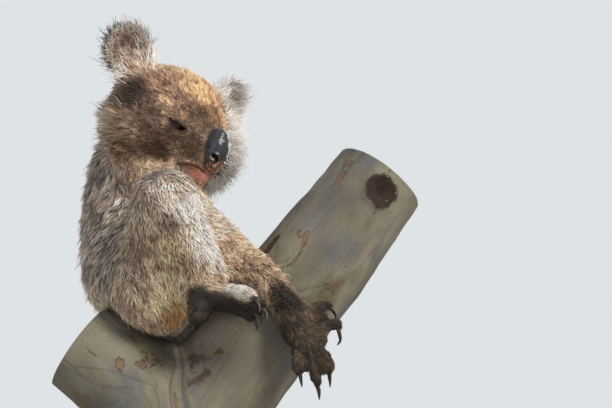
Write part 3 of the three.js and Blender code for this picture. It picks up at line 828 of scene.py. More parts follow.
def build_skin(settings):
    obj = flesh_mesh(settings.voxel * MM)
    refine_face(obj)
    surface = Surface(obj.data)
    shares = part_shares(surface)
    small = sum(share for part, share in shares.items() if family(part) in ("forepaw", "hindpaw"))
    lightly = surface.spread(surface.co, 4, 0.5)
    heavily = surface.spread(lightly, settings.smoothing, 0.6)
    surface.co = lightly + (heavily - lightly) * (1 - small)[:, None]
    surface.refresh()
    values = coat_values(surface, shares)
    depth = surface.spread(values["depth"] * (1 - 0.8 * bare_shares(surface, shares)), 6)
    surface.co -= surface.spread(surface.normal, 3) * (depth * MM)[:, None]
    surface.refresh()
    sculpt_face(surface)
    sculpt_paws(surface, shares)
    for side in (LEFT, RIGHT):
        sculpt_lids(surface, side)
    surface.co = out_of_wood(surface.co, 1.0 * MM)
    surface.refresh()

    values = coat_values(surface, shares)
    colours = marked_colours(surface, shares)
    bare = bare_shares(surface, shares)
    local = HEAD.local(surface.co) / MM
    soles = np.clip(bare - ramp(local[:, 0], 20, 30) * shares["head"], 0, 1)
    tint(colours, soles, "1b1512")
    mouth_gap, _, _ = line_distance(local, MOUTH_LINE)
    lip = bare * shares["head"]
    tint(colours, lip, "a0665a")
    # Painted shade in the mouth's groove, wider towards its corners.
    inside = ramp(mouth_gap, 2.0 + 1.6 * ramp(local[:, 0], 74, 64), 0.6) * shares["head"]
    tint(colours, inside, "241512")
    for side in (LEFT, RIGHT):
        ball, _, inner, above = eye_axes(side)
        offset = (surface.co - ball) / MM
        past_slit, gap, along = slit_distance(offset @ inner, offset @ above)
        lid = np.minimum(past_slit, gap + np.maximum(np.abs(along) - SLIT_HALF_LENGTH, 0))
        rim = ramp(lid, 1.9, 1.1) * ramp(np.abs(along), 14, 12) * (np.linalg.norm(offset, axis=1) < 17)
        tint(colours, rim, "1c110d")
        bare = np.maximum(bare, rim)
    # Painted shade on the skin round the nose pad's edge, where the coat is also left out.
    nose_gap = np.linalg.norm((local - (80, 0, -25)) / (17, 14.2, 26.5), axis=1)
    under_nose = ramp(nose_gap, 0.9, 0.82)
    tint(colours, under_nose, "2a2523")
    density = values["density"] * (1 - ramp(np.maximum(bare, under_nose), 0.35, 0.65))
    density *= 1 - 0.6 * ramp(wood_gap(surface.co), 9 * MM, 3 * MM)
    mesh = obj.data
    set_attribute(mesh, "Marking", with_alpha(colours))
    set_attribute(mesh, "Bare", bare)
    set_attribute(mesh, "density", density)
    for field in ("length", "width", "lift", "curl", "tip_light"):
        set_attribute(mesh, field, values[field])
    set_attribute(mesh, "lie", lie_of_coat(surface, shares))
    for part in FLESH:
        set_attribute(mesh, f"share_{part}", shares[part])
    shade_smooth(mesh)
    unwrap(obj)
    finish_piece(obj, koala_hide(), FLESH)


# ---- Coat --------------------------------------------------------------------------------------------------

# Where a tuft's rings stand along it, below its point. Tufts over LONG_TUFT millimetres are long ones.
LONG_RINGS = (0.0, 0.36, 0.72)
SHORT_RINGS = (0.0, 0.5)
LONG_TUFT = 9.0
UV_PATCH = 0.003
# Wool scatters light, so that a tuft is shaded much as the coat that it lies in. 0 shades it as a hard spike.
SOFTNESS = 0.7
# Tufts shade each other, so each one is this much lighter than the coat is to look. Dark tufts hardly change.
SELF_SHADING = 0.5


class Roots:
    """Places on the skin where tufts start, with every value of the skin read there."""

    def __init__(self, skin, density, rng):
        mesh = skin.data
        mesh.calc_loop_triangles()
        corners = read(mesh.loop_triangles, "vertices", 3, np.int64)
        loops = read(mesh.loop_triangles, "loops", 3, np.int64)
        co = read(mesh.vertices, "co", 3)
        a, b, c = co[corners].transpose(1, 0, 2)
        area = np.linalg.norm(np.cross(b - a, c - a), axis=1) / 2
        wanted = np.cumsum(area * 1e4 * density[corners].mean(1))
        count = int(wanted[-1])
        picked = np.searchsorted(wanted, (np.arange(count) + rng.random(count)) * wanted[-1] / count)
        picked = np.minimum(picked, len(corners) - 1)
        u = np.sqrt(rng.random(count))
        v = rng.random(count)
        self.weights = np.column_stack([1 - u, u * (1 - v), u * v])
        self.corners = corners[picked]
        self.mesh = mesh
        self.place = self.mix(co)
        self.normal = unit(self.mix(read(mesh.vertices, "normal", 3)))
        uv = read(mesh.uv_layers["OFBake"].uv, "vector", 2)
        self.uv = (uv[loops[picked]] * self.weights[:, :, None]).sum(1)

    def mix(self, values):
        picked = values[self.corners]
        if picked.ndim == 2:
            return (picked * self.weights).sum(1)
        return (picked * self.weights[:, :, None]).sum(1)

    def value(self, name, width=1):
        return self.mix(get_attribute(self.mesh, name, width))

    def __len__(self):
        return len(self.place)


Style = namedtuple("Style", "length width lift curl lie tip_light colour")

# Under tufts are short, broad and dark; wisps stand out of the coat; the rest make up its surface.
# Shares of all tufts, and length, width, lift and tone against the surface tufts.
Layer = namedtuple("Layer", "share length width lift tone")
LAYERS = [
    Layer(0.32, 0.66, 1.75, 0.75, 0.84),
    Layer(0.04, 1.55, 0.80, 1.35, 1.05),
    Layer(0.64, 1.00, 1.00, 1.00, 1.00),
]
# Tufts to a lock, how far they are drawn to its tip, and how strongly its edge is darkened and its middle
# lightened, as painted shade between locks and painted light on them: large locks first.
LOCKS = [(28, 0.26, 0.30), (6, 0.42, 0.60)]


def turned(lie, side, angle):
    return lie * np.cos(angle)[:, None] + side * np.sin(angle)[:, None]


def gather(places, centres, length, size, pull, rng):
    """Draws tufts towards their lock's tip. Gives each tuft's leader and how far out in the lock it is."""
    leaders = np.flatnonzero(rng.random(len(places)) < 1 / size)
    tree = kdtree.KDTree(len(leaders))
    for i, leader in enumerate(leaders):
        tree.insert(places[leader], i)
    tree.balance()
    found = [tree.find(p) for p in places]
    own = np.array([f[1] for f in found])
    gap = np.array([f[2] for f in found])
    widest = np.zeros(len(leaders))
    np.maximum.at(widest, own, gap)
    towards = centres[leaders[own], -1] - centres[:, -1]
    reach = np.linalg.norm(towards, axis=1)
    towards *= np.minimum(1, 0.8 * length / np.maximum(reach, 1e-9))[:, None]
    strength = pull * rng.uniform(0.5, 1.0, len(places))
    last = centres.shape[1] - 1
    for k in range(1, last + 1):
        centres[:, k] += towards * (strength * (k / last) ** 1.5)[:, None]
    return own, gap / np.maximum(widest[own], 1e-9)


def grow_tufts(roots, style, rng):
    """Centre lines, lengths, widths and colours of tufts, each leaning along the coat within its lock."""
    count = len(roots)
    layer = rng.choice(len(LAYERS), count, p=[layer.share for layer in LAYERS])
    own_layer = {field: np.array([getattr(one, field) for one in LAYERS])[layer] for field in Layer._fields}
    lie = unit(style.lie - dot(style.lie, roots.normal)[:, None] * roots.normal)
    swirl = 0.5 * noise_at(roots.place, 12 * MM, 4) + rng.normal(0, 0.22, count)
    lie = turned(lie, np.cross(roots.normal, lie), swirl)
    side = np.cross(roots.normal, lie)
    length = style.length * MM * own_layer["length"] * rng.lognormal(0, 0.2, count)
    lift = style.lift * own_layer["lift"] * rng.normal(1, 0.22, count) + 7 * noise_at(roots.place, 9 * MM, 5)
    lift = np.radians(np.clip(lift, 6, 85))
    steps = 4
    centres = np.zeros((count, steps, 3))
    centres[:, 0] = roots.place - roots.normal * np.minimum(0.5 * MM, 0.06 * length)[:, None]
    phase = rng.random(count) * 2 * np.pi
    for k in range(1, steps):
        t = (k - 0.5) / (steps - 1)
        angle = lift * (1.35 - 1.05 * t)
        way = lie * np.cos(angle)[:, None] + roots.normal * np.sin(angle)[:, None]
        centres[:, k] = centres[:, k - 1] + way * (length / (steps - 1))[:, None]
    for k in range(1, steps):
        sway = style.curl * length * 0.5 * (np.sin(phase + 3.6 * k / (steps - 1)) - np.sin(phase))
        centres[:, k] += side * sway[:, None]
    tone = own_layer["tone"] * rng.lognormal(0, 0.24, count)
    for size, pull, shading in LOCKS:
        own, out = gather(roots.place, centres, length, size, pull, rng)
        # Each lock gets painted shade at its edge and painted light in its middle.
        tone *= rng.lognormal(0, 0.2, own.max() + 1)[own] * (1 + shading * (0.35 - out**2))
    tone *= np.where(rng.random(count) < 0.12, 0.62, 1.0)
    colour = style.colour * (1 + SELF_SHADING * ramp(style.colour.mean(1), 0.03, 0.2))[:, None]
    mid = colour * tone[:, None]
    # Pale hair keeps its brightness down to the root and in its tips; dark hair has dark tips.
    paleness = ramp(style.colour.mean(1), 0.02, 0.5)[:, None]
    root = mid * (0.42 + 0.48 * paleness)
    tip = mid * 1.1
    whitened = style.tip_light * rng.uniform(0.2, 1.2, count) * (0.25 + 0.75 * paleness[:, 0])
    tip += whitened[:, None] * (linear(COAT_TIP) - tip)
    colours = np.clip(np.stack([root, mid, mid * 0.5 + tip * 0.5, tip], 1), 0.003, 0.93)
    return centres, length, style.width * own_layer["width"] * rng.uniform(0.75, 1.15, count), colours


def tuft_arrays(roots, centres, colours, width, rings):
    """Closed three-sided tufts round the centre lines: vertices, faces, colours, map places and normals."""
    count = len(centres)
    steps = np.linspace(0, 1, centres.shape[1])
    per_tuft = 3 * len(rings) + 1
    vertices = np.zeros((count, per_tuft, 3))
    tones = np.zeros((count, per_tuft, 3))
    uv = np.zeros((count, per_tuft, 2))
    normals = np.zeros((count, per_tuft, 3))

    def sample(values, t):
        at = min(int(t * (len(steps) - 1)), len(steps) - 2)
        f = t * (len(steps) - 1) - at
        return values[:, at] * (1 - f) + values[:, at + 1] * f

    for ring, t in enumerate([*rings, 1.0]):
        middle = sample(centres, t)
        tone = sample(colours, t)
        half = 0.5 * UV_PATCH * (0.9 - 0.6 * t)
        if t == 1.0:
            vertices[:, -1] = middle
            tones[:, -1] = tone
            uv[:, -1] = roots.uv + (0, UV_PATCH / 2)
            normals[:, -1] = roots.normal
            break
        way = unit(sample(centres, min(t + 0.2, 1)) - sample(centres, max(t - 0.2, 0)))
        side = unit(np.cross(roots.normal, way))
        above = np.cross(way, side) * -1
        above = np.where((dot(above, roots.normal) < 0)[:, None], -above, above)
        wide = (width * MM * (1.0 - 0.62 * t**1.5))[:, None]
        for corner, (x, y) in enumerate(((1, 0), (0, 0.8), (-1, 0))):
            vertices[:, ring * 3 + corner] = middle + side * x * wide + above * y * wide
            tones[:, ring * 3 + corner] = tone
            uv[:, ring * 3 + corner] = roots.uv + (x * half, (t - 0.5) * UV_PATCH)
            round_way = side * x + above * y
            normals[:, ring * 3 + corner] = unit(round_way + SOFTNESS * (roots.normal - round_way))
    faces = [(2, 1, 0)]
    for ring in range(len(rings)):
        for corner in range(3):
            a, b = ring * 3 + corner, ring * 3 + (corner + 1) % 3
            if ring + 1 < len(rings):
                faces += [(a, b, b + 3), (a, b + 3, a + 3)]
            else:
                faces.append((a, b, per_tuft - 1))
    faces = np.array(faces)[None] + (np.arange(count) * per_tuft)[:, None, None]
    return [values.reshape(-1, values.shape[-1]) for values in (vertices, faces, tones, uv, normals)]


def coat_piece(name, roots, centres, colours, width, rings, material):
    vertices, faces, tones, uv, normals = tuft_arrays(roots, centres, colours, width, rings)
    vertices = out_of_wood(vertices, 1.2 * MM)
    mesh = bpy.data.meshes.new(name)
    mesh.vertices.add(len(vertices))
    write_places(mesh, vertices)
    mesh.loops.add(faces.size)
    mesh.loops.foreach_set("vertex_index", faces.astype(np.int32).ravel())
    mesh.polygons.add(len(faces))
    mesh.polygons.foreach_set("loop_start", np.arange(0, faces.size, 3, dtype=np.int32))
    mesh.update(calc_edges=True)
    shade_smooth(mesh)
    set_attribute(mesh, "Marking", with_alpha(tones))
    layer = mesh.uv_layers.new(name="OFBake")
    layer.uv.foreach_set("vector", uv[faces.ravel()].astype(np.float32).ravel())
    mesh.normals_split_custom_set_from_vertices(normals.tolist())
    finish_piece(add_object(name, mesh), material)


class Chosen:
    """Some of the roots."""

    def __init__(self, roots, index):
        self.place, self.normal, self.uv = roots.place[index], roots.normal[index], roots.uv[index]


def split_coat(name, roots, centres, length, colours, width, material, limit):
    """Makes the coat's pieces, long tufts with one more ring than short ones, each piece under the limit."""
    long = length > LONG_TUFT * MM
    for kind, chosen, rings in (("long", long, LONG_RINGS), ("short", ~long, SHORT_RINGS)):
        order = np.flatnonzero(chosen)
        order = order[np.argsort(-roots.place[order, 2])]
        per_tuft = 6 * len(rings) - 2
        pieces = max(1, math.ceil(len(order) * per_tuft / limit))
        for i, index in enumerate(np.array_split(order, pieces)):
            if len(index):
                piece = f"coat_{name}_{kind}_{i + 1}"
                some = Chosen(roots, index)
                coat_piece(piece, some, centres[index], colours[index], width[index], rings, material)


def build_coat(settings):
    """The coat over the whole body, then the long fringes of the ears and ruff."""
    skin = bpy.data.objects["skin"]
    material = koala_fur()
    rng = np.random.default_rng(settings.seed)
    density = get_attribute(skin.data, "density") * settings.fullness
    roots = Roots(skin, density, rng)
    style = Style(
        length=roots.value("length") * settings.length,
        width=roots.value("width") * settings.width,
        lift=roots.value("lift"),
        curl=roots.value("curl"),
        lie=roots.value("lie", 3),
        tip_light=roots.value("tip_light"),
        colour=roots.value("Marking", 4)[:, :3],
    )
    centres, length, width, colours = grow_tufts(roots, style, rng)
    split_coat("body", roots, centres, length, colours, width, material, settings.piece_limit)
    build_fringes(skin, settings, material, rng)
    for attribute in [a.name for a in skin.data.attributes if a.name.startswith("share_")]:
        skin.data.attributes.remove(skin.data.attributes[attribute])
    for name in ("density", "length", "width", "lift", "curl", "tip_light", "lie"):
        skin.data.attributes.remove(skin.data.attributes[name])


def build_fringes(skin, settings, material, rng):
    """Long white hair round the ears, in the cups of the ears and on the ruff behind the cheeks."""
    mesh = skin.data
    surface_co = read(mesh.vertices, "co", 3)
    facing = read(mesh.vertices, "normal", 3) @ HEAD.turn((1, 0, 0))
    density = np.zeros(len(surface_co))
    for ear in EARS:
        away = away_from(centre(ear), surface_co)
        rim = ramp(away, 12 * MM, 20 * MM) * (0.3 + 0.7 * ramp(facing, -0.8, 0.1))
        density += get_attribute(mesh, f"share_{ear}") * np.maximum(rim, 0.3 * ramp(facing, 0, 0.5)) * 40
    forward, left, up = (HEAD.local(surface_co) / MM).T
    ruff = ramp(left, 40, 58) * ramp(up, 34, 10) * ramp(forward, 54, 36)
    ruff = np.maximum(ruff, 0.6 * ramp(-left, 66, 78) * ramp(up, 0, -20) * ramp(forward, 20, 0))
    density += get_attribute(mesh, "share_head") * ruff * 30
    density *= 1 - ramp(get_attribute(mesh, "Bare"), 0.3, 0.6)
    roots = Roots(skin, density * settings.fullness, rng)
    count = len(roots)
    outward = 0.6 * roots.value("share_head")[:, None] * unit(roots.place - HEAD.origin)
    for ear in EARS:
        share = roots.value(f"share_{ear}")[:, None]
        outward += share * unit(roots.place - centre(ear) + 0.25 * (centre(ear) - HEAD.origin))
    outward += roots.value("share_head")[:, None] * roots.value("lie", 3)
    own = roots.value("Marking", 4)[:, :3]
    # Fringe hair in the right ear's cup is kept darker, with the cup's painted shadow.
    in_cup = roots.value("share_ear_right") * ramp(roots.normal @ HEAD.turn((1, 0, 0)), 0.1, 0.5)
    whiteness = 0.75 - 0.6 * in_cup
    style = Style(
        length=rng.uniform(13, 24, count) * settings.length,
        width=np.full(count, 0.32),
        lift=np.full(count, 52.0),
        curl=np.full(count, 0.28),
        lie=outward + rng.normal(0, 0.3, (count, 3)),
        tip_light=0.7 - 0.5 * in_cup,
        colour=np.clip(own + whiteness[:, None] * (linear("faf6f0") - own), 0, 0.93),
    )
    centres, length, width, colours = grow_tufts(roots, style, rng)
    split_coat("fringe", roots, centres, length, colours, width, material, settings.piece_limit)


# ---- Eyes, nose, claws and whiskers ------------------------------------------------------------------------


def ball_mesh(name, middle, radii, axes, around=48, rings=24):
    """A closed ball with its poles on the first axis."""
    vertices = [middle + axes[0] * radii[0]]
    for ring in range(1, rings):
        tilt = math.pi * ring / rings
        for step in range(around):
            turn = 2 * math.pi * step / around
            flat = axes[1] * math.cos(turn) * radii[1] + axes[2] * math.sin(turn) * radii[2]
            vertices.append(middle + axes[0] * math.cos(tilt) * radii[0] + flat * math.sin(tilt))
    vertices.append(middle - axes[0] * radii[0])
    faces = []
    last = len(vertices) - 1
    for step in range(around):
        after = (step + 1) % around
        faces.append((0, 1 + step, 1 + after))
        for ring in range(rings - 2):
            a, b = 1 + ring * around + step, 1 + ring * around + after
            faces.append((a, a + around, b + around, b))
        start = 1 + (rings - 2) * around
        faces.append((last, start + after, start + step))
    mesh = mesh_from(name, np.array(vertices), faces)
    return outward(mesh)


def outward(mesh):
    """A mesh with every facet turned outwards."""
    bm = working(mesh)
    bmesh.ops.recalc_face_normals(bm, faces=bm.faces)
    keep(bm, mesh)
    return mesh


def build_eyes():
    for name, side in SIDES.items():
        ball, out, inner, above = eye_axes(side)
        mesh = ball_mesh(f"eyeball_{name}", ball, [BALL_RADIUS * MM] * 3, (out, inner, above))
        away = away_from(ball + out * BALL_RADIUS * MM, read(mesh.vertices, "co", 3))
        set_attribute(mesh, "FromPupil", away / MM)
        finish_piece(add_object(f"eyeball_{name}", mesh), koala_eye(), [f"eye_{name}"])


# The nose in its own millimetres: forward, left and up from its middle.
NOSTRIL_LINE = [(13, 5.4, -17), (14, 4.6, -12.5), (13.5, 6.4, -8.8), (10.5, 9.8, -7.6)]


def nose_shape(directions):
    """Places on the nose for unit directions: a tall, flat-fronted pad that is narrower at the top."""
    x, y, z = directions.T
    flat = np.sign(x) * np.abs(x) ** 0.72
    width = 12.8 * (0.95 - 0.08 * z - 0.15 * np.maximum(z, 0) ** 2 - 0.08 * np.maximum(-z - 0.55, 0))
    length = 15.2 * (1 - 0.20 * np.maximum(z, 0) ** 1.5 - 0.10 * np.maximum(-z - 0.4, 0))
    return np.column_stack([flat * length, np.sign(y) * np.abs(y) ** 0.9 * width, z * 24.2])


def build_nose():
    """The bare pad of the nose with its nostrils, the groove between them and its pebbled skin."""
    up, forward, left = np.eye(3)[[2, 0, 1]]
    mesh = ball_mesh("nose_pad", np.zeros(3), (1, 1, 1), (up, forward, left), 160, 110)
    places = nose_shape(read(mesh.vertices, "co", 3))
    write_places(mesh, places)
    mesh.update()
    surface = Surface(mesh)
    push = np.zeros(len(places))
    flesh = np.zeros(len(places))
    for side in (LEFT, RIGHT):
        gap, share, _ = line_distance(places, np.array(NOSTRIL_LINE) * (1, side, 1))
        hole = 1.9 * (1.15 - 0.5 * share)
        push -= 4.6 * np.exp(-((gap / hole) ** 2))
        push += 0.9 * np.exp(-(((gap - 3.4) / 1.2) ** 2))
        flesh = np.maximum(flesh, ramp(gap, 5.2, 3.4) * ramp(gap, 1.8, 2.6) * ramp(places[:, 2], -6.5, -10.5))
    groove = np.exp(-((places[:, 1] / 0.8) ** 2)) * ramp(places[:, 2], -8, -12) * ramp(places[:, 0], 2, 6)
    push -= 1.2 * groove
    push += 0.3 * noise_at(places, 5.0, 3) + 0.14 * noise_at(places, 1.8, 4)
    folds = np.sin(places[:, 1] * 2 * np.pi / 2.9 + 1.2 * noise_at(places, 6.0, 8))
    below = ramp(places[:, 2], -9, -14) * ramp(places[:, 0], 0, 5)
    push += 0.32 * folds * below
    blotch = noise_at(places * (1.4, 1.4, 0.6), 3.4, 6) + 0.35 * folds
    rim = ramp(places[:, 2], -13, -17.5) * ramp(places[:, 0], -2, 4)
    flesh = np.clip(np.maximum(flesh, 0.85 * rim) * ramp(blotch, -0.45, 0.05) * (1 - groove), 0, 1)
    depth = ramp(-push, 1.0, 2.6)
    set_attribute(mesh, "NosePlace", places * MM)
    places = places + surface.normal * push[:, None]
    world = NOSE_PLACE + (places * MM) @ HEAD.rows
    write_places(mesh, world)
    outward(mesh)
    set_attribute(mesh, "Flesh", flesh)
    set_attribute(mesh, "Hole", depth)
    finish_piece(add_object("nose_pad", mesh), nose_leather(), ["nose"])


# How far a claw's root is set into its digit, and where along the claw the root ends and starts. Millimetres.
CLAW_SET_IN, ROOT_END, ROOT_START = 2.5, 9, 3


def build_claws(settings):
    """Each claw smoothed from its solid, keeping its point, with its root run on into the digit."""
    horn = claw_horn()
    tree = skin_tree()
    for node in CLAWS:
        bm = working(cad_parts[node].data)
        bmesh.ops.remove_doubles(bm, verts=bm.verts, dist=0.02 * MM)
        bmesh.ops.dissolve_limit(bm, angle_limit=math.radians(1), verts=bm.verts, edges=bm.edges)
        mesh = mesh_of(bm, f"{node}_horn")
        shade_smooth(mesh)
        rough = add_object(mesh.name, mesh)
        rounding = rough.modifiers.new("rounding", "SUBSURF")
        rounding.levels = rounding.render_levels = settings.rounding
        obj = baked(rough, f"{node}_horn")
        places = read(obj.data.vertices, "co", 3)
        nearest = [tree.find_nearest(Vector(place)) for place in places]
        heights = [(Vector(place) - near).dot(normal) for place, (near, normal, _, _) in zip(places, nearest)]
        deepest = int(np.argmin(heights))
        root = ramp(away_from(places[deepest], places), ROOT_END * MM, ROOT_START * MM)
        set_attribute(obj.data, "Root", root)
        places -= np.array(nearest[deepest][1]) * (root * CLAW_SET_IN * MM)[:, None]
        write_places(obj.data, places)
        finish_piece(obj, horn, [node])


def node_group(name, sockets):
    """A tree of Geometry Nodes with named inputs: the tree, its inputs' outlets and their identifiers."""
    tree = bpy.data.node_groups.new(name, "GeometryNodeTree")
    tree.interface.new_socket("Geometry", in_out="OUTPUT", socket_type="NodeSocketGeometry")
    identifiers = {}
    for label, kind, value in [("Geometry", "Geometry", None), *sockets, ("Material", "Material", None)]:
        socket = tree.interface.new_socket(label, in_out="INPUT", socket_type=f"NodeSocket{kind}")
        if value is not None:
            socket.default_value = value
        identifiers[label] = socket.identifier
    return tree, add_node(tree, "NodeGroupInput").node.outputs, identifiers


def finish_group(tree, geometry, start):
    """Makes what a tree has placed into real facets of its material, and hands them out."""
    real = add_node(tree, "GeometryNodeRealizeInstances", {"Geometry": geometry})
    done = add_node(tree, "GeometryNodeSetMaterial", {"Geometry": real, "Material": start["Material"]})
    add_node(tree, "NodeGroupOutput", {"Geometry": done})


def grow(obj, name, group, values):
    """Runs a tree of Geometry Nodes on an object, with values for its named inputs."""
    tree, identifiers = group
    modifier = obj.modifiers.new(name, "NODES")
    modifier.node_group = tree
    for label, value in values.items():
        modifier[identifiers[label]] = value
    return baked(obj, name)


def whisker_tree():
    """Turns bent lines into tapered hairs, closed at both ends."""
    tree, start, identifiers = node_group("whiskers", [("Root radius", "Float", 0.2 * MM)])
    node = partial(add_node, tree)
    line = node("GeometryNodeMeshToCurve", {"Mesh": start["Geometry"]})
    place = node("GeometryNodeSplineParameter")
    taper = node(RANGE, {"Value": place, "To Min": start["Root radius"], "To Max": 0.03 * MM})
    sized = node("GeometryNodeSetCurveRadius", {"Curve": line, "Radius": taper})
    ring = node("GeometryNodeCurvePrimitiveCircle", {"Resolution": 5, "Radius": 1.0})
    swept = node(
        "GeometryNodeCurveToMesh", {"Curve": sized, "Profile Curve": ring, "Scale": taper, "Fill Caps": True}
    )
    finish_group(tree, swept, start)
    return tree, identifiers


# Groups of whiskers: their place on the left side, reach, number on each side and length. Millimetres.
WHISKERS = [((72, 14, -38), 7, 11, 16), ((50, 38, 6), 3, 5, 12), ((76, 3, -60), 5, 8, 8)]
WHISKER_BENDS = 5


def build_whiskers(settings):
    """A few fine whiskers on the lips, the cheeks and over the eyes."""
    rng = np.random.default_rng(settings.seed)
    tree = skin_tree()
    vertices, edges = [], []
    for place, reach, count, length in WHISKERS:
        for side in (LEFT, RIGHT):
            for _ in range(count):
                spot = np.array(place) * (1, side, 1) + rng.normal(0, reach * 0.5, 3)
                near, normal, _, _ = tree.find_nearest(Vector(HEAD.world(spot * MM)))
                out, base = np.array(normal), np.array(near)
                back = unit(base - on_head(90, 0, -20))
                way = unit(out * 0.8 + back * 0.7 + rng.normal(0, 0.12, 3))
                droop = np.array([0, 0, -0.5])
                size = length * rng.uniform(0.6, 1.2) * MM
                first = len(vertices)
                for k in range(WHISKER_BENDS + 1):
                    t = k / WHISKER_BENDS
                    vertices.append(base - out * 0.5 * MM + way * size * t + droop * size * t * t * 0.5)
                edges += [(first + k, first + k + 1) for k in range(WHISKER_BENDS)]
    mesh = bpy.data.meshes.new("whisker_lines")
    mesh.from_pydata([tuple(v) for v in vertices], edges, [])
    lines = add_object("whisker_lines", mesh)
    material = whisker_hair()
    values = {"Root radius": settings.whisker * MM, "Material": material}
    finish_piece(grow(lines, "whiskers", whisker_tree(), values), material)


# ---- Perch and stand ---------------------------------------------------------------------------------------


def smooth_line(line, radii, steps):
    """A smooth run through the points of a limb, with its radius at each step."""
    padded = np.vstack([2 * line[0] - line[1], line, 2 * line[-1] - line[-2]])
    places, sizes = [], []
    for i in range(len(line) - 1):
        p0, p1, p2, p3 = padded[i : i + 4]
        for t in np.arange(steps) / steps:
            places.append(
                0.5 * (2 * p1 + (p2 - p0) * t + (2 * p0 - 5 * p1 + 4 * p2 - p3) * t**2
                       + (3 * p1 - p0 - 3 * p2 + p3) * t**3)
            )
            sizes.append(radii[i] + (radii[i + 1] - radii[i]) * t)
    return np.array([*places, line[-1]]), np.array([*sizes, radii[-1]])


def limb_mesh(bm, limb, extra):
    """A round bar along a limb, run on past both ends, and closed."""
    places, sizes = smooth_line(limb.line, limb.radii, 10)
    start = places[0] - unit(places[1] - places[0]) * extra
    end = places[-1] + unit(places[-1] - places[-2]) * extra
    places = np.vstack([start, places, end])
    sizes = np.concatenate([[sizes[0]], sizes, [sizes[-1]]])
    sides = 64
    across = np.array([0, 1.0, 0])
    rings = []
    for i, place in enumerate(places):
        way = unit(places[min(i + 1, len(places) - 1)] - places[max(i - 1, 0)])
        other = unit(np.cross(way, across))
        level = np.cross(other, way)
        turns = 2 * np.pi * np.arange(sides) / sides
        ring = place + sizes[i] * (np.cos(turns)[:, None] * level + np.sin(turns)[:, None] * other)
        rings.append([bm.verts.new(p) for p in ring])
    for low, high in zip(rings[:-1], rings[1:]):
        for i in range(sides):
            bm.faces.new((low[i], low[(i + 1) % sides], high[(i + 1) % sides], high[i]))
    bm.faces.new(rings[0])
    bm.faces.new(rings[-1])


def saw(bm, place, way):
    """Cuts the wood off square at a place and closes the cut with a fan round its middle."""
    cut = bmesh.ops.bisect_plane(
        bm, geom=[*bm.verts, *bm.edges, *bm.faces], plane_co=Vector(place), plane_no=Vector(way),
        clear_outer=True, dist=1e-6,
    )
    rim = [e for e in cut["geom_cut"] if isinstance(e, bmesh.types.BMEdge)]
    made = bmesh.ops.contextual_create(bm, geom=rim)["faces"]
    if not made:
        raise RuntimeError("the sawn end wasn't closed")
    inset = bmesh.ops.inset_region(bm, faces=made, thickness=1.2 * MM, depth=0)["faces"]
    fan = bmesh.ops.poke(bm, faces=made)["faces"]
    for face in [*fan, *inset]:
        face.material_index = 1


def grain_places(points):
    """Places straightened along the wood: two across it and one along it, so that grain follows the limb."""
    gaps, results = [], []
    for limb in (STEM, BRANCH):
        line = limb.line
        steps = np.concatenate([[0], np.cumsum(np.linalg.norm(np.diff(line, axis=0), axis=1))])
        gap, share, nearest = line_distance(points, line)
        along = np.interp(share * (len(line) - 1), np.arange(len(line)), steps)
        gaps.append(gap - radius_at(limb, share))
        away = points - nearest
        way = unit(line[-1] - line[0])
        level = unit(np.cross(way, (0, 1.0, 0)))
        results.append(np.column_stack([away[:, 1], away @ level, along]))
    share = ramp(gaps[0] - gaps[1], -10 * MM, 10 * MM)[:, None]
    return results[0] * (1 - share) + (results[1] + (0, 0, 0.3)) * share, share[:, 0]


def build_perch(settings):
    """The fork in one piece: bark with swellings, collar wrinkles and flake edges, and three sawn ends."""
    bm = bmesh.new()
    for limb in (STEM, BRANCH):
        limb_mesh(bm, limb, 12 * MM)
    bmesh.ops.recalc_face_normals(bm, faces=bm.faces)
    obj = remeshed(mesh_of(bm, "fork"), settings.voxel * MM, "perch")
    surface = Surface(obj.data)
    smoothed = surface.spread(surface.co, 40, 0.5)
    grain, on_branch = grain_places(surface.co)
    crotch = ramp(np.abs(wood_gap(smoothed)), 1.5 * MM, 4 * MM)
    surface.co += (smoothed - surface.co) * np.maximum(0.35, crotch)[:, None]
    surface.refresh()
    seam = np.exp(-(((on_branch - 0.5) / 0.3) ** 2)) * ramp(surface.co[:, 2], 0.24, 0.3)
    relief = 1.5 * noise_at(surface.co, 60 * MM, 11) + 0.5 * noise_at(surface.co, 18 * MM, 12)
    relief += 0.22 * noise_at(grain * (1, 1, 0.25), 4 * MM, 13)
    relief += seam * 1.1 * noise_at(surface.co * (0.4, 0.4, 1.8), 9 * MM, 14)
    relief += scars_at(surface.co)[2]
    surface.co += surface.normal * (relief * MM)[:, None]
    surface.refresh()
    clear_of_flesh(surface)

    bm = working(obj.data)
    stem, branch = STEM.line, BRANCH.line
    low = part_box("perch_stem")[0].z
    saw(bm, (stem[0][0], 0, low + 0.2 * MM), (0, 0, -1))
    saw(bm, stem[-1], unit(stem[-1] - stem[-2]))
    saw(bm, branch[-1], unit(branch[-1] - branch[-2]))
    bmesh.ops.triangulate(bm, faces=[f for f in bm.faces if len(f.verts) > 4])
    keep(bm, obj.data)
    mesh = obj.data
    places = read(mesh.vertices, "co", 3)
    scar, ring, _ = scars_at(places)
    set_attribute(mesh, "Grain", grain_places(places)[0])
    set_attribute(mesh, "Scar", scar)
    set_attribute(mesh, "KnotRing", ring)
    set_attribute(mesh, "Stain", dark_patches_at(places))
    mesh.polygons.foreach_set("use_smooth", [p.material_index == 0 for p in mesh.polygons])
    mesh.materials.append(gum_bark())
    mesh.materials.append(sawn_gum())
    finish_piece(obj, None, ["perch_stem", "perch_branch"])
    build_lenticels(obj, settings)


def dark_patches_at(points):
    """How dark the bark's patches under the rump and the foot are."""
    ragged = 0.45 * noise_at(points, 12 * MM, 24) + 0.3 * noise_at(points * (1, 1, 0.5), 4 * MM, 25)
    gaps = [away_from(place, points) / (reach * MM) for place, reach in DARK_PATCHES]
    return ramp(np.min(gaps, axis=0) + ragged, 1.15, 0.55)


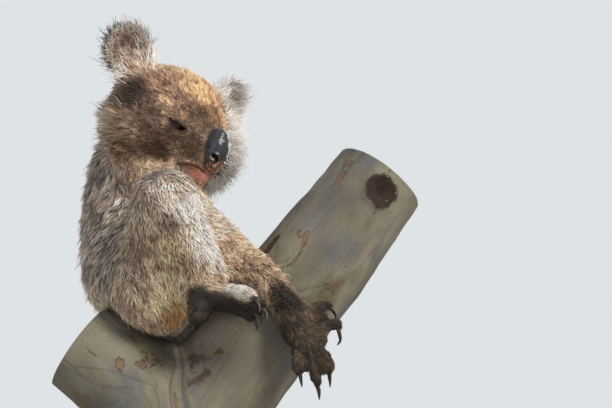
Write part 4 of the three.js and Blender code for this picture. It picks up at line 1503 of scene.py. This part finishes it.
def scars_at(points):
    """How far points are inside the bark's knot and slit, the knot's rings, and the height of both."""
    knot_gap = away_from(KNOT, points) / MM
    along = unit(BRANCH.line[3] - BRANCH.line[2])
    offset = (points - SLIT) / MM
    length = offset @ along
    across = np.linalg.norm(offset - length[:, None] * along, axis=1)
    slit_gap = np.hypot(length / 30, across / (5.5 + 0.05 * length)) + 0.18 * noise_at(points, 9 * MM, 21)
    ragged = knot_gap + 1.6 * noise_at(points, 7 * MM, 22)
    scar = np.maximum(ramp(ragged, 19.5, 18), ramp(slit_gap, 1.0, 0.85))
    ring = 0.5 + 0.22 * np.cos(knot_gap * 2 * np.pi / 4.2 + noise_at(points, 12 * MM, 23))
    ring = np.where(knot_gap < 23, ring * (1 - 0.5 * ramp(knot_gap, 7, 3)), 1.0)
    height = 3.6 * np.exp(-(((ragged - 16) / 5) ** 2)) - 3.0 * ramp(knot_gap, 9, 2)
    return scar, ring, height - 1.6 * ramp(slit_gap, 1.0, 0.6)


def clear_of_flesh(surface):
    """Draws bark in where it would stand in the skin."""
    tree = skin_tree()
    clear = 0.6 * MM
    for i in np.flatnonzero(np.abs(wood_gap(surface.co)) < 4 * MM):
        near, normal, _, _ = tree.find_nearest(Vector(surface.co[i]), 12 * MM)
        if near is None:
            continue
        depth = (Vector(surface.co[i]) - near).dot(normal)
        if depth < clear:
            surface.co[i] -= surface.normal[i] * (clear - depth)
    surface.refresh()


def lenticel_tree():
    """Small corky pores scattered over the bark, each a low lens that lies on the surface."""
    sockets = [("Density", "Float", 900.0), ("Size", "Float", 1.0 * MM), ("Seed", "Int", 5)]
    tree, start, identifiers = node_group("lenticels", sockets)
    node = partial(add_node, tree)
    spots = node(
        "GeometryNodeDistributePointsOnFaces",
        {"Mesh": start["Geometry"], "Density": start["Density"], "Seed": start["Seed"]},
    )
    lens = node("GeometryNodeMeshIcoSphere", {"Radius": start["Size"], "Subdivisions": 2})
    flat = node("GeometryNodeTransform", {"Geometry": lens, "Scale": (1.6, 0.8, 0.34)})
    size = node("FunctionNodeRandomValue", {2: 0.45, 3: 1.25, "Seed": start["Seed"]}, 1, data_type="FLOAT")
    placed = node(
        "GeometryNodeInstanceOnPoints",
        {"Points": spots, "Instance": flat, "Rotation": spots.node.outputs["Rotation"], "Scale": size},
    )
    finish_group(tree, placed, start)
    return tree, identifiers


def build_lenticels(perch, settings):
    ground = add_object("lenticel_ground", perch.data.copy())
    material = cork_pore()
    values = {"Density": settings.lenticels, "Size": 1.0 * MM, "Seed": 5, "Material": material}
    finish_piece(grow(ground, "lenticels", lenticel_tree(), values), material)


def rounded_slab(low, high, corner, bevel):
    """A slab with round corners and a softly rounded top edge, as vertices and faces."""
    middle = (low + high) / 2
    half = (high - low) / 2
    profile = [(0.0, low[2]), (0.0, high[2] - bevel)]
    profile += [
        (bevel * (1 - math.cos(a)), high[2] - bevel * (1 - math.sin(a)))
        for a in np.linspace(0, math.pi / 2, 7)[1:]
    ]
    rings = []
    for inset, height in profile:
        ring = []
        for quarter, (sx, sy) in enumerate(((1, 1), (-1, 1), (-1, -1), (1, -1))):
            for a in np.linspace(0, math.pi / 2, 15) + quarter * math.pi / 2:
                radius = corner - inset
                x = middle[0] + sx * (half[0] - corner) + radius * math.cos(a)
                y = middle[1] + sy * (half[1] - corner) + radius * math.sin(a)
                ring.append((x, y, height))
        rings.append(ring)
    count = len(rings[0])
    vertices = [p for ring in rings for p in ring]
    faces = []
    for r in range(len(rings) - 1):
        for i in range(count):
            a, b = r * count + i, r * count + (i + 1) % count
            faces.append((a, b, b + count, a + count))
    faces.append(tuple(range(count))[::-1])
    faces.append(tuple(range((len(rings) - 1) * count, len(rings) * count)))
    return vertices, faces


SHARP_EDGE = math.radians(40)


def build_stand(settings):
    low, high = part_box("stand_base")
    vertices, faces = rounded_slab(np.array(low), np.array(high), settings.corner * MM, 3 * MM)
    mesh = outward(mesh_from("stand_plinth", vertices, faces))
    mesh.set_sharp_from_angle(angle=SHARP_EDGE)
    finish_piece(add_object("stand_plinth", mesh), oiled_walnut(), ["stand_base"])
    for number in (1, 2):
        low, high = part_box(f"stand_rod_{number}")
        middle = (low + high) / 2
        radius = (high.x - low.x) / 2
        bm = bmesh.new()
        bmesh.ops.create_cone(
            bm, cap_ends=True, segments=64, radius1=radius, radius2=radius, depth=high.z - low.z
        )
        bmesh.ops.translate(bm, verts=bm.verts, vec=middle)
        mesh = mesh_of(bm, f"stand_post_{number}")
        shade_smooth(mesh)
        mesh.set_sharp_from_angle(angle=SHARP_EDGE)
        post = add_object(f"stand_post_{number}", mesh)
        finish_piece(post, brushed_steel(), [f"stand_rod_{number}"])


# ---- Materials ---------------------------------------------------------------------------------------------

ATTRIBUTE, COORDINATES, NOISE, CELLS, WAVE, RANGE, MIX, MATH, VECTOR, MAPPING, BUMP = (
    f"ShaderNode{kind}"
    for kind in (
        "Attribute", "TexCoord", "TexNoise", "TexVoronoi", "TexWave", "MapRange", "Mix", "Math", "VectorMath",
        "Mapping", "Bump",
    )
)
# What makes a Mix node blend colours, and which of its outputs holds them.
BLEND = {"data_type": "RGBA", "output": 2}
# The range that most of a noise's values fall in.
MIDDLE = {"From Min": 0.3, "From Max": 0.7}


def set_inputs(node, inputs):
    """Links each input that is given a socket, and sets each one that is given a value or a hex colour."""
    for name, value in inputs.items():
        if isinstance(value, bpy.types.NodeSocket):
            node.id_data.links.new(value, node.inputs[name])
        else:
            node.inputs[name].default_value = rgba(value) if isinstance(value, str) else value


def add_node(tree, kind, inputs=None, output=0, **settings):
    """Adds a node with its settings, links and values, and gives one of its outputs."""
    made = tree.nodes.new(kind)
    for name, value in settings.items():
        setattr(made, name, value)
    set_inputs(made, inputs or {})
    return made.outputs[output] if made.outputs else made


def new_material(name):
    """A material, what adds nodes to it, and its Principled shader."""
    material = bpy.data.materials.new(name)
    material.use_nodes = True
    tree = material.node_tree
    return material, partial(add_node, tree), next(n for n in tree.nodes if n.type == "BSDF_PRINCIPLED")


def koala_fur():
    """Dense woolly fur: dull, with a faint sheen from the hair's scales. Colour comes with each tuft."""
    material, node, shader = new_material("koala_fur")
    marking = node(ATTRIBUTE, output="Color", attribute_name="Marking")
    place = node(COORDINATES, output="Object")
    # Single hairs are 0.03 mm thick; streaks 0.8 mm wide are as fine as the tufts can show.
    fine = node(NOISE, {"Vector": place, "Scale": 1 / 0.0008, "Detail": 2.0})
    tone = node(RANGE, {"Value": fine, **MIDDLE, "To Min": 0.84, "To Max": 1.12})
    toned = node(VECTOR, {0: marking, "Scale": tone}, operation="SCALE")
    set_inputs(shader, {
        "Base Color": toned, "Roughness": 0.75, "Sheen Weight": 0.06, "Sheen Roughness": 0.5,
        "Specular IOR Level": 0.2,
    })
    return material


def koala_hide():
    """Hide: shadowed woolly ground under the coat, and dark pebbled leather where it is bare."""
    material, node, shader = new_material("koala_hide")
    marking = node(ATTRIBUTE, output="Color", attribute_name="Marking")
    bare = node(ATTRIBUTE, output="Fac", attribute_name="Bare")
    place = node(COORDINATES, output="Object")
    fine = node(NOISE, {"Vector": place, "Scale": 1 / 0.0016, "Detail": 4.0})
    # The pads' granules are about 1.1 mm across.
    pebbles = node(CELLS, {"Vector": place, "Scale": 1 / 0.0011})
    ground = node(RANGE, {"Value": bare, **MIDDLE, "To Min": 0.6, "To Max": 1.0})
    grainy = node(RANGE, {"Value": fine, **MIDDLE, "To Min": 0.8, "To Max": 1.15})
    tone = node(MATH, {0: ground, 1: grainy}, operation="MULTIPLY")
    toned = node(VECTOR, {0: marking, "Scale": tone}, operation="SCALE")
    gloss = node(RANGE, {"Value": bare, "To Min": 0.85, "To Max": 0.62})
    height = node(MIX, {0: bare, 2: fine, 3: pebbles})
    bump = node(BUMP, {"Height": height, "Distance": 0.0004, "Strength": 0.8})
    set_inputs(shader, {"Base Color": toned, "Roughness": gloss, "Normal": bump, "IOR": 1.45})
    return material


def nose_leather():
    """Bare nose skin: blue-black leather with a moist sheen and cross wrinkles, flesh tan by the nostrils."""
    material, node, shader = new_material("nose_leather")
    place = node(ATTRIBUTE, output="Vector", attribute_name="NosePlace")
    flesh = node(ATTRIBUTE, output="Fac", attribute_name="Flesh")
    hole = node(ATTRIBUTE, output="Fac", attribute_name="Hole")
    # Pebbles of the nose skin are about 0.9 mm across, and its wrinkles run across it about 1.6 mm apart.
    pebbles = node(CELLS, {"Vector": place, "Scale": 1 / 0.0009})
    flat = node(MAPPING, {"Vector": place, "Scale": (0.18, 0.18, 1)})
    wrinkles = node(NOISE, {"Vector": flat, "Scale": 1 / 0.0016, "Detail": 2.0, "Distortion": 0.3})
    clouds = node(NOISE, {"Vector": place, "Scale": 1 / 0.006, "Detail": 3.0})
    slate = node(MIX, {0: clouds, 6: "090b0f", 7: "1e242d"}, **BLEND)
    tan = node(MIX, {0: clouds, 6: "8a5a48", 7: "bd8d74"}, **BLEND)
    skin = node(MIX, {0: flesh, 6: slate, 7: tan}, **BLEND)
    dark = node(MIX, {0: hole, 6: skin, 7: "070505"}, **BLEND)
    gloss = node(RANGE, {"Value": clouds, "To Min": 0.26, "To Max": 0.36})
    height = node(MATH, {0: wrinkles, 1: 2.4, 2: pebbles}, operation="MULTIPLY_ADD")
    bump = node(BUMP, {"Height": height, "Distance": 0.0003, "Strength": 0.6})
    set_inputs(shader, {
        "Base Color": dark, "Roughness": gloss, "Normal": bump, "IOR": 1.45, "Coat Weight": 0.6,
        "Coat Roughness": 0.24,
    })
    return material


def koala_eye():
    """Eye: a wet brown iris round a dark pupil, under a clear cornea."""
    material, node, shader = new_material("koala_eye")
    away = node(ATTRIBUTE, output="Fac", attribute_name="FromPupil")
    place = node(COORDINATES, output="Object")
    rays = node(NOISE, {"Vector": place, "Scale": 1 / 0.0012, "Detail": 3.0})
    iris = node(MIX, {0: rays, 6: "1c0e08", 7: "4a2816"}, **BLEND)
    # The pupil is 4 mm across and the iris 14 mm.
    in_iris = node(RANGE, {"Value": away, "From Min": 1.6, "From Max": 2.2})
    eye = node(MIX, {0: in_iris, 6: "050303", 7: iris}, **BLEND)
    past_iris = node(RANGE, {"Value": away, "From Min": 6.2, "From Max": 7.2})
    whole = node(MIX, {0: past_iris, 6: eye, 7: "33150d"}, **BLEND)
    set_inputs(shader, {"Base Color": whole, "Roughness": 0.2, "IOR": 1.34})
    return material


def claw_horn():
    """Claw horn: hard, smooth and dark, brown at the root, with faint streaks and a low polish from use."""
    material, node, shader = new_material("claw_horn")
    place = node(COORDINATES, output="Object")
    root = node(ATTRIBUTE, output="Fac", attribute_name="Root")
    streaks = node(NOISE, {"Vector": place, "Scale": 1 / 0.0022, "Detail": 5.0})
    black = node(MIX, {0: streaks, 6: "120e0c", 7: "2e2620"}, **BLEND)
    brown = node(MIX, {0: streaks, 6: "33231a", 7: "5c4637"}, **BLEND)
    horn = node(MIX, {0: root, 6: black, 7: brown}, **BLEND)
    bump = node(BUMP, {"Height": streaks, "Distance": 0.0002, "Strength": 0.35})
    set_inputs(shader, {"Base Color": horn, "Roughness": 0.42, "IOR": 1.54, "Normal": bump})
    return material


def whisker_hair():
    """Whisker: a stiff, glossy black-brown hair."""
    material, node, shader = new_material("whisker_hair")
    place = node(COORDINATES, output="Object")
    tone = node(NOISE, {"Vector": place, "Scale": 1 / 0.004, "Detail": 2.0})
    hair = node(MIX, {0: tone, 6: "1d1713", 7: "54463a"}, **BLEND)
    set_inputs(shader, {"Base Color": hair, "Roughness": 0.4})
    return material


def gum_bark():
    """Smooth gum bark: matt grey and cream skin in soft clouds, with shed flakes, cracks and brown specks."""
    material, node, shader = new_material("gum_bark")
    grain = node(ATTRIBUTE, output="Vector", attribute_name="Grain")
    scar = node(ATTRIBUTE, output="Fac", attribute_name="Scar")
    ring = node(ATTRIBUTE, output="Fac", attribute_name="KnotRing")
    # Broad shading of the bark, in clouds 60 to 140 mm across, a little longer along the limb.
    long = node(MAPPING, {"Vector": grain, "Scale": (1, 1, 0.6)})
    broad = node(NOISE, {"Vector": long, "Scale": 1 / 0.07, "Detail": 3.0, "Distortion": 0.3})
    light = node(RANGE, {"Value": broad, "From Min": 0.38, "From Max": 0.62})
    ground = node(MIX, {0: light, 6: "5e5b52", 7: "838070"}, **BLEND)
    apart = node(MAPPING, {"Vector": long, "Location": (0.31, 0.17, 0.23)})
    tints = node(NOISE, {"Vector": apart, "Scale": 1 / 0.045, "Detail": 2.0, "Distortion": 0.5})
    olive = node(RANGE, {"Value": tints, "From Min": 0.54, "From Max": 0.66, "To Max": 0.75})
    greened = node(MIX, {0: olive, 6: ground, 7: "5b5339"}, **BLEND)
    # Bluish-grey clouds, placed at random, are a painted reflection of the sky on bark in shade.
    blue = node(RANGE, {"Value": tints, "From Min": 0.46, "From Max": 0.34, "To Max": 0.7})
    tinted = node(MIX, {0: blue, 6: greened, 7: "64686b"}, **BLEND)
    # Flakes 20 to 60 mm across where old bark was shed, with crisp dark edges.
    shed = node(NOISE, {
        "Vector": long, "Scale": 1 / 0.036, "Detail": 5.0, "Roughness": 0.55, "Distortion": 0.9,
    })
    flake = node(RANGE, {"Value": shed, "From Min": 0.665, "From Max": 0.68})
    flaked = node(MIX, {0: flake, 6: tinted, 7: "7c6a55"}, **BLEND)
    outer = node(RANGE, {"Value": shed, "From Min": 0.652, "From Max": 0.665})
    inner = node(RANGE, {"Value": shed, "From Min": 0.682, "From Max": 0.667})
    rim = node(MATH, {0: outer, 1: inner}, operation="MULTIPLY")
    rimmed = node(MIX, {0: rim, 6: flaked, 7: "51402f"}, **BLEND)
    # Brown specks 1 to 3 mm across, some 14 mm apart.
    cells = node(CELLS, {"Vector": long, "Scale": 1 / 0.014})
    chance = node(NOISE, {"Vector": long, "Scale": 1 / 0.02})
    reach = node(RANGE, {"Value": chance, "From Min": 0.45, "From Max": 0.75, "To Min": 0.0, "To Max": 0.16})
    speck = node(MATH, {0: cells, 1: reach}, operation="LESS_THAN")
    specked = node(MIX, {0: speck, 6: rimmed, 7: "6b573f"}, **BLEND)
    # Knot and slit: torn brown wood under the bark, ringed in the knot.
    torn = node(MAPPING, {"Vector": grain, "Scale": (1, 1, 0.2)})
    fibres = node(NOISE, {"Vector": torn, "Scale": 1 / 0.004, "Detail": 5.0, "Roughness": 0.65})
    wood = node(MIX, {0: fibres, 6: "1c110b", 7: "583c28"}, **BLEND)
    ringed = node(VECTOR, {0: wood, "Scale": ring}, operation="SCALE")
    scarred = node(MIX, {0: scar, 6: specked, 7: ringed}, **BLEND)
    # Dark patches: purple-brown where they are deepest, and rusty brown round their edges.
    dark_patch = node(ATTRIBUTE, output="Fac", attribute_name="Stain")
    thick = node(RANGE, {"Value": dark_patch, "From Min": 0.3, "From Max": 0.95})
    sap = node(MIX, {0: thick, 6: "76603f", 7: "41332b"}, **BLEND)
    faint = node(MATH, {0: dark_patch, 1: 0.85}, operation="MULTIPLY")
    patched = node(MIX, {0: faint, 6: scarred, 7: sap}, **BLEND)
    # Faint streaks about 4 mm wide and eight times as long, and a fine grain of 1.5 mm.
    stretched = node(MAPPING, {"Vector": grain, "Scale": (1, 1, 0.12)})
    streaks = node(NOISE, {"Vector": stretched, "Scale": 1 / 0.006, "Detail": 6.0, "Roughness": 0.65})
    streaky = node(RANGE, {"Value": streaks, **MIDDLE, "To Min": 0.93, "To Max": 1.06})
    grit = node(NOISE, {"Vector": grain, "Scale": 1 / 0.0035, "Detail": 5.0, "Roughness": 0.7})
    gritty = node(RANGE, {"Value": grit, **MIDDLE, "To Min": 0.86, "To Max": 1.12})
    # Hairline cracks that run along the limb, some 40 mm apart.
    lines = node(CELLS, {"Vector": stretched, "Scale": 1 / 0.03}, feature="DISTANCE_TO_EDGE")
    crack = node(RANGE, {"Value": lines, "To Min": 0.72, "To Max": 1.0, "From Max": 0.018})
    both = node(MATH, {0: streaky, 1: gritty}, operation="MULTIPLY")
    tone = node(MATH, {0: both, 1: crack}, operation="MULTIPLY")
    final = node(VECTOR, {0: patched, "Scale": tone}, operation="SCALE")
    rough = node(MATH, {0: streaks, 1: 0.6, 2: grit}, operation="MULTIPLY_ADD")
    relief = node(MATH, {0: flake, 1: -0.4, 2: rough}, operation="MULTIPLY_ADD")
    bump = node(BUMP, {"Height": relief, "Distance": 0.001, "Strength": 0.6})
    set_inputs(shader, {"Base Color": final, "Roughness": 0.82, "IOR": 1.45, "Normal": bump})
    return material


def cork_pore():
    """Lenticel: a raised dot of rough brown cork."""
    material, node, shader = new_material("cork_pore")
    place = node(COORDINATES, output="Object")
    tone = node(NOISE, {"Vector": place, "Scale": 1 / 0.02, "Detail": 3.0})
    cork = node(MIX, {0: tone, 6: "5c503f", 7: "8f866f"}, **BLEND)
    set_inputs(shader, {"Base Color": cork, "Roughness": 0.85})
    return material


def sawn_gum():
    """Sawn end grain: pale pinkish wood with soft growth rings, radial checks and saw marks."""
    material, node, shader = new_material("sawn_gum")
    grain = node(ATTRIBUTE, output="Vector", attribute_name="Grain")
    flat = node(MAPPING, {"Vector": grain, "Scale": (1, 1, 0)})
    wobble = node(NOISE, {"Vector": flat, "Scale": 1 / 0.03, "Detail": 2.0}, output="Color")
    shifted = node(VECTOR, {0: wobble, 1: (0.006,) * 3, 2: flat}, operation="MULTIPLY_ADD")
    # Growth rings are about 3 mm apart, in redder heartwood out to 30 mm from the pith.
    rings = node(
        WAVE, {"Vector": shifted, "Scale": 1 / 0.02, "Distortion": 1.2, "Detail": 2.0}, output="Fac",
        wave_type="RINGS", rings_direction="Z",
    )
    from_pith = node(VECTOR, {0: shifted}, "Value", operation="LENGTH")
    outer = node(RANGE, {"Value": from_pith, "From Min": 0.028, "From Max": 0.034})
    heart = node(MIX, {0: rings, 6: "a0795a", 7: "86604a"}, **BLEND)
    sap = node(MIX, {0: rings, 6: "bf9f7f", 7: "a98868"}, **BLEND)
    wood = node(MIX, {0: outer, 6: heart, 7: sap}, **BLEND)
    fibres = node(NOISE, {"Vector": flat, "Scale": 1 / 0.001, "Detail": 3.0})
    tone = node(RANGE, {"Value": fibres, "To Min": 0.8, "To Max": 1.15})
    toned = node(VECTOR, {0: wood, "Scale": tone}, operation="SCALE")
    bump = node(BUMP, {"Height": fibres, "Distance": 0.0004, "Strength": 0.5})
    set_inputs(shader, {"Base Color": toned, "Roughness": 0.8, "IOR": 1.45, "Normal": bump})
    return material


def oiled_walnut():
    """Oiled walnut: dark brown board with long figure and open pores, under a satin oil finish."""
    material, node, shader = new_material("oiled_walnut")
    place = node(COORDINATES, output="Object")
    long = node(MAPPING, {"Vector": place, "Scale": (0.07, 1, 1)})
    figure = node(NOISE, {"Vector": long, "Scale": 1 / 0.016, "Detail": 5.0, "Distortion": 1.6})
    bands = node(RANGE, {"Value": figure, **MIDDLE})
    wood = node(MIX, {0: bands, 6: "3b2618", 7: "6e4a30"}, **BLEND)
    # Pores are 0.3 mm wide and some 8 mm long.
    pores = node(NOISE, {"Vector": long, "Scale": 1 / 0.0009, "Detail": 2.0})
    tone = node(RANGE, {"Value": pores, "From Min": 0.35, "From Max": 0.5, "To Min": 0.72, "To Max": 1.0})
    toned = node(VECTOR, {0: wood, "Scale": tone}, operation="SCALE")
    bump = node(BUMP, {"Height": tone, "Distance": 0.0002, "Strength": 0.5})
    set_inputs(shader, {"Base Color": toned, "Roughness": 0.6, "Normal": bump})
    return material


def brushed_steel():
    """Stainless rod, turned and brushed: fine rings round it and a soft metallic shine."""
    material, node, shader = new_material("brushed_steel")
    place = node(COORDINATES, output="Object")
    rings = node(MAPPING, {"Vector": place, "Scale": (0.02, 0.02, 1)})
    # Brush marks are finer than can show, so they are drawn 0.5 mm apart.
    marks = node(NOISE, {"Vector": rings, "Scale": 1 / 0.0005, "Detail": 3.0})
    steel = node(MIX, {0: marks, 6: "a9a8a5", 7: "cfcecb"}, **BLEND)
    gloss = node(RANGE, {"Value": marks, "To Min": 0.26, "To Max": 0.42})
    set_inputs(shader, {"Base Color": steel, "Roughness": gloss, "Metallic": 1.0})
    return material


# ---- Stage -------------------------------------------------------------------------------------------------

CAMERA_PLACE = (0.067, -1.40954, 0.03997)
CAMERA_TILT = 110
CAMERA_LENS = 80.2


def far_lamp(name):
    """A lamp so far off that it lights the floor evenly, as wide to the eye as a soft box near by."""
    lamp = bpy.data.lights.new(name, "SUN")
    lamp.angle = math.radians(17)
    return lamp


def soft_box(name, size):
    lamp = bpy.data.lights.new(name, "AREA")
    lamp.shape = "DISK"
    lamp.size = size
    return lamp


def add_lamp(lamp, place, target, power, colour):
    lamp.energy = power
    lamp.color = linear(colour)
    made = add_object(lamp.name, lamp)
    made.location = place
    made.rotation_euler = (Vector(target) - Vector(place)).to_track_quat("-Z", "Y").to_euler()


def studio_floor(colour):
    """Matt painted floor, with a mottle too faint to notice."""
    material, node, shader = new_material("studio_floor")
    place = node(COORDINATES, output="Object")
    clouds = node(NOISE, {"Vector": place, "Scale": 1 / 0.3, "Detail": 3.0})
    tone = node(RANGE, {"Value": clouds, "To Min": 0.96, "To Max": 1.02})
    toned = node(VECTOR, {0: tuple(colour), "Scale": tone}, operation="SCALE")
    set_inputs(shader, {"Base Color": toned, "Roughness": 0.9})
    return material


def build_stage(settings):
    half = 4.0
    floor = add_object(
        "floor", mesh_from("floor", [(-half, -half, 0), (half, -half, 0), (half, half, 0), (-half, half, 0)],
                           [(0, 1, 2, 3)], smooth=False)
    )
    floor.data.materials.append(studio_floor(settings.floor))
    target = (-0.03, 0, 0.52)
    add_lamp(far_lamp("key"), (1.45, -1.7, 1.85), target, settings.key, "fff3e6")
    add_lamp(soft_box("fill", 1.6), (-1.6, -1.8, 1.0), target, settings.fill, "eef3ff")
    add_lamp(soft_box("back", 1.2), (0.6, 1.8, 1.7), target, settings.back, "ffffff")
    world = bpy.data.worlds.new("studio")
    world.use_nodes = True
    bpy.context.scene.world = world
    tree = world.node_tree
    tree.nodes.clear()
    node = partial(add_node, tree)
    rays = node("ShaderNodeLightPath").node.outputs
    seen = rays["Is Camera Ray"]
    for kind in ("Is Glossy Ray", "Is Transmission Ray"):
        seen = node(MATH, {0: seen, 1: rays[kind]}, operation="MAXIMUM")
    light = node("ShaderNodeBackground", {"Color": "f4f6fa", "Strength": settings.ambient})
    shown = node("ShaderNodeBackground", {"Color": (*settings.backdrop, 1.0), "Strength": 1.0})
    mixed = node("ShaderNodeMixShader", {0: seen, 1: light, 2: shown})
    node("ShaderNodeOutputWorld", {"Surface": mixed})
    lens = bpy.data.cameras.new("camera")
    lens.lens = CAMERA_LENS
    lens.sensor_width = 36
    lens.clip_start = 0.01
    camera = add_object("camera", lens)
    camera.location = CAMERA_PLACE
    camera.rotation_euler = (math.radians(CAMERA_TILT), 0, 0)
    bpy.context.scene.camera = camera
    bpy.context.scene.view_settings.view_transform = "Standard"


# ---- Settings, operators and panel -------------------------------------------------------------------------


class SkinSettings(bpy.types.PropertyGroup):
    voxel: FloatProperty(
        name="Facet size", description="Facet size of the skin, mm", default=2.8, min=2, max=6
    )
    smoothing: IntProperty(name="Smoothing", description="Rounds of smoothing on the body", default=22, min=0)


class CoatSettings(bpy.types.PropertyGroup):
    length: FloatProperty(name="Length", description="Length of the coat against its real one", default=1.0)
    width: FloatProperty(name="Tuft width", description="Width of the tufts against the chart", default=1.0)
    fullness: FloatProperty(name="Fullness", description="Number of tufts against the chart", default=1.0)
    piece_limit: IntProperty(
        name="Piece limit", description="Most triangles in a piece of coat", default=190000
    )
    seed: IntProperty(name="Seed", description="Seed of the random draws", default=7)


class FaceSettings(bpy.types.PropertyGroup):
    whisker: FloatProperty(name="Whisker", description="Radius of a whisker at its root, mm", default=0.16)
    seed: IntProperty(name="Seed", description="Seed of the whiskers", default=3)


class ClawSettings(bpy.types.PropertyGroup):
    rounding: IntProperty(name="Rounding", description="Times that a claw's faces are split", default=2)


class PerchSettings(bpy.types.PropertyGroup):
    voxel: FloatProperty(
        name="Facet size", description="Facet size of the bark, mm", default=2.6, min=2, max=6
    )
    lenticels: FloatProperty(name="Lenticels", description="Pores to the square metre of bark", default=900)


class StandSettings(bpy.types.PropertyGroup):
    corner: FloatProperty(name="Corner", description="Corner radius of the plinth, mm", default=26)


class StageSettings(bpy.types.PropertyGroup):
    floor: FloatVectorProperty(
        name="Floor", subtype="COLOR", size=3, default=linear("e9e6e0"), description="Floor"
    )
    backdrop: FloatVectorProperty(
        name="Backdrop", subtype="COLOR", size=3, default=linear("dfe3e6"), description="Pale background"
    )
    key: FloatProperty(name="Key", description="Strength of the main lamp, W/m2", default=2.6)
    fill: FloatProperty(name="Fill", description="Power of the fill lamp", default=6.0, unit="POWER")
    back: FloatProperty(name="Back", description="Power of the lamp behind", default=11, unit="POWER")
    ambient: FloatProperty(name="Ambient", description="Light from all round", default=0.39)


class KOALA_OT_skin(bpy.types.Operator):
    """Lays one skin inside the solids of flesh"""

    bl_idname = "koala.skin"
    bl_label = "Skin"

    def execute(self, context):
        build_skin(context.scene.koala_skin)
        return {"FINISHED"}


class KOALA_OT_coat(bpy.types.Operator):
    """Grows the coat of solid tufts on the skin"""

    bl_idname = "koala.coat"
    bl_label = "Coat"

    def execute(self, context):
        build_coat(context.scene.koala_coat)
        return {"FINISHED"}


class KOALA_OT_face(bpy.types.Operator):
    """Adds the eyeballs, the nose pad and the whiskers"""

    bl_idname = "koala.face"
    bl_label = "Eyes, nose and whiskers"

    def execute(self, context):
        build_eyes()
        build_nose()
        build_whiskers(context.scene.koala_face)
        return {"FINISHED"}


class KOALA_OT_claws(bpy.types.Operator):
    """Smooths the claws"""

    bl_idname = "koala.claws"
    bl_label = "Claws"

    def execute(self, context):
        build_claws(context.scene.koala_claws)
        return {"FINISHED"}


class KOALA_OT_perch(bpy.types.Operator):
    """Builds the gum fork with its bark and sawn ends"""

    bl_idname = "koala.perch"
    bl_label = "Perch"

    def execute(self, context):
        build_perch(context.scene.koala_perch)
        return {"FINISHED"}


class KOALA_OT_stand(bpy.types.Operator):
    """Builds the walnut plinth and its steel rods"""

    bl_idname = "koala.stand"
    bl_label = "Stand"

    def execute(self, context):
        build_stand(context.scene.koala_stand)
        return {"FINISHED"}


class KOALA_OT_stage(bpy.types.Operator):
    """Adds the floor, lamps, background and camera"""

    bl_idname = "koala.stage"
    bl_label = "Stage"

    def execute(self, context):
        build_stage(context.scene.koala_stage)
        return {"FINISHED"}


SETTINGS = {
    "koala_skin": SkinSettings,
    "koala_coat": CoatSettings,
    "koala_face": FaceSettings,
    "koala_claws": ClawSettings,
    "koala_perch": PerchSettings,
    "koala_stand": StandSettings,
    "koala_stage": StageSettings,
}
OPERATORS = [
    KOALA_OT_skin, KOALA_OT_coat, KOALA_OT_face, KOALA_OT_claws, KOALA_OT_perch, KOALA_OT_stand,
    KOALA_OT_stage,
]


class KOALA_PT_panel(bpy.types.Panel):
    """Lists the settings and the steps in their order"""

    bl_idname = "KOALA_PT_panel"
    bl_label = "Koala"
    bl_space_type = "VIEW_3D"
    bl_region_type = "UI"
    bl_category = "Koala"

    def draw(self, context):
        for (name, group), operator in zip(SETTINGS.items(), OPERATORS):
            box = self.layout.box()
            for field in group.__annotations__:
                box.prop(getattr(context.scene, name), field)
            box.operator(operator.bl_idname)


CLASSES = [*SETTINGS.values(), *OPERATORS, KOALA_PT_panel]


def register():
    for made in CLASSES:
        bpy.utils.register_class(made)
    for name, group in SETTINGS.items():
        setattr(bpy.types.Scene, name, PointerProperty(type=group))


def unregister():
    for name in SETTINGS:
        delattr(bpy.types.Scene, name)
    for made in reversed(CLASSES):
        bpy.utils.unregister_class(made)


def main():
    register()
    bpy.ops.koala.skin()
    bpy.ops.koala.coat()
    bpy.ops.koala.face()
    bpy.ops.koala.claws()
    bpy.ops.koala.perch()
    bpy.ops.koala.stand()
    bpy.ops.koala.stage()


if __name__ == "__main__":
    main()
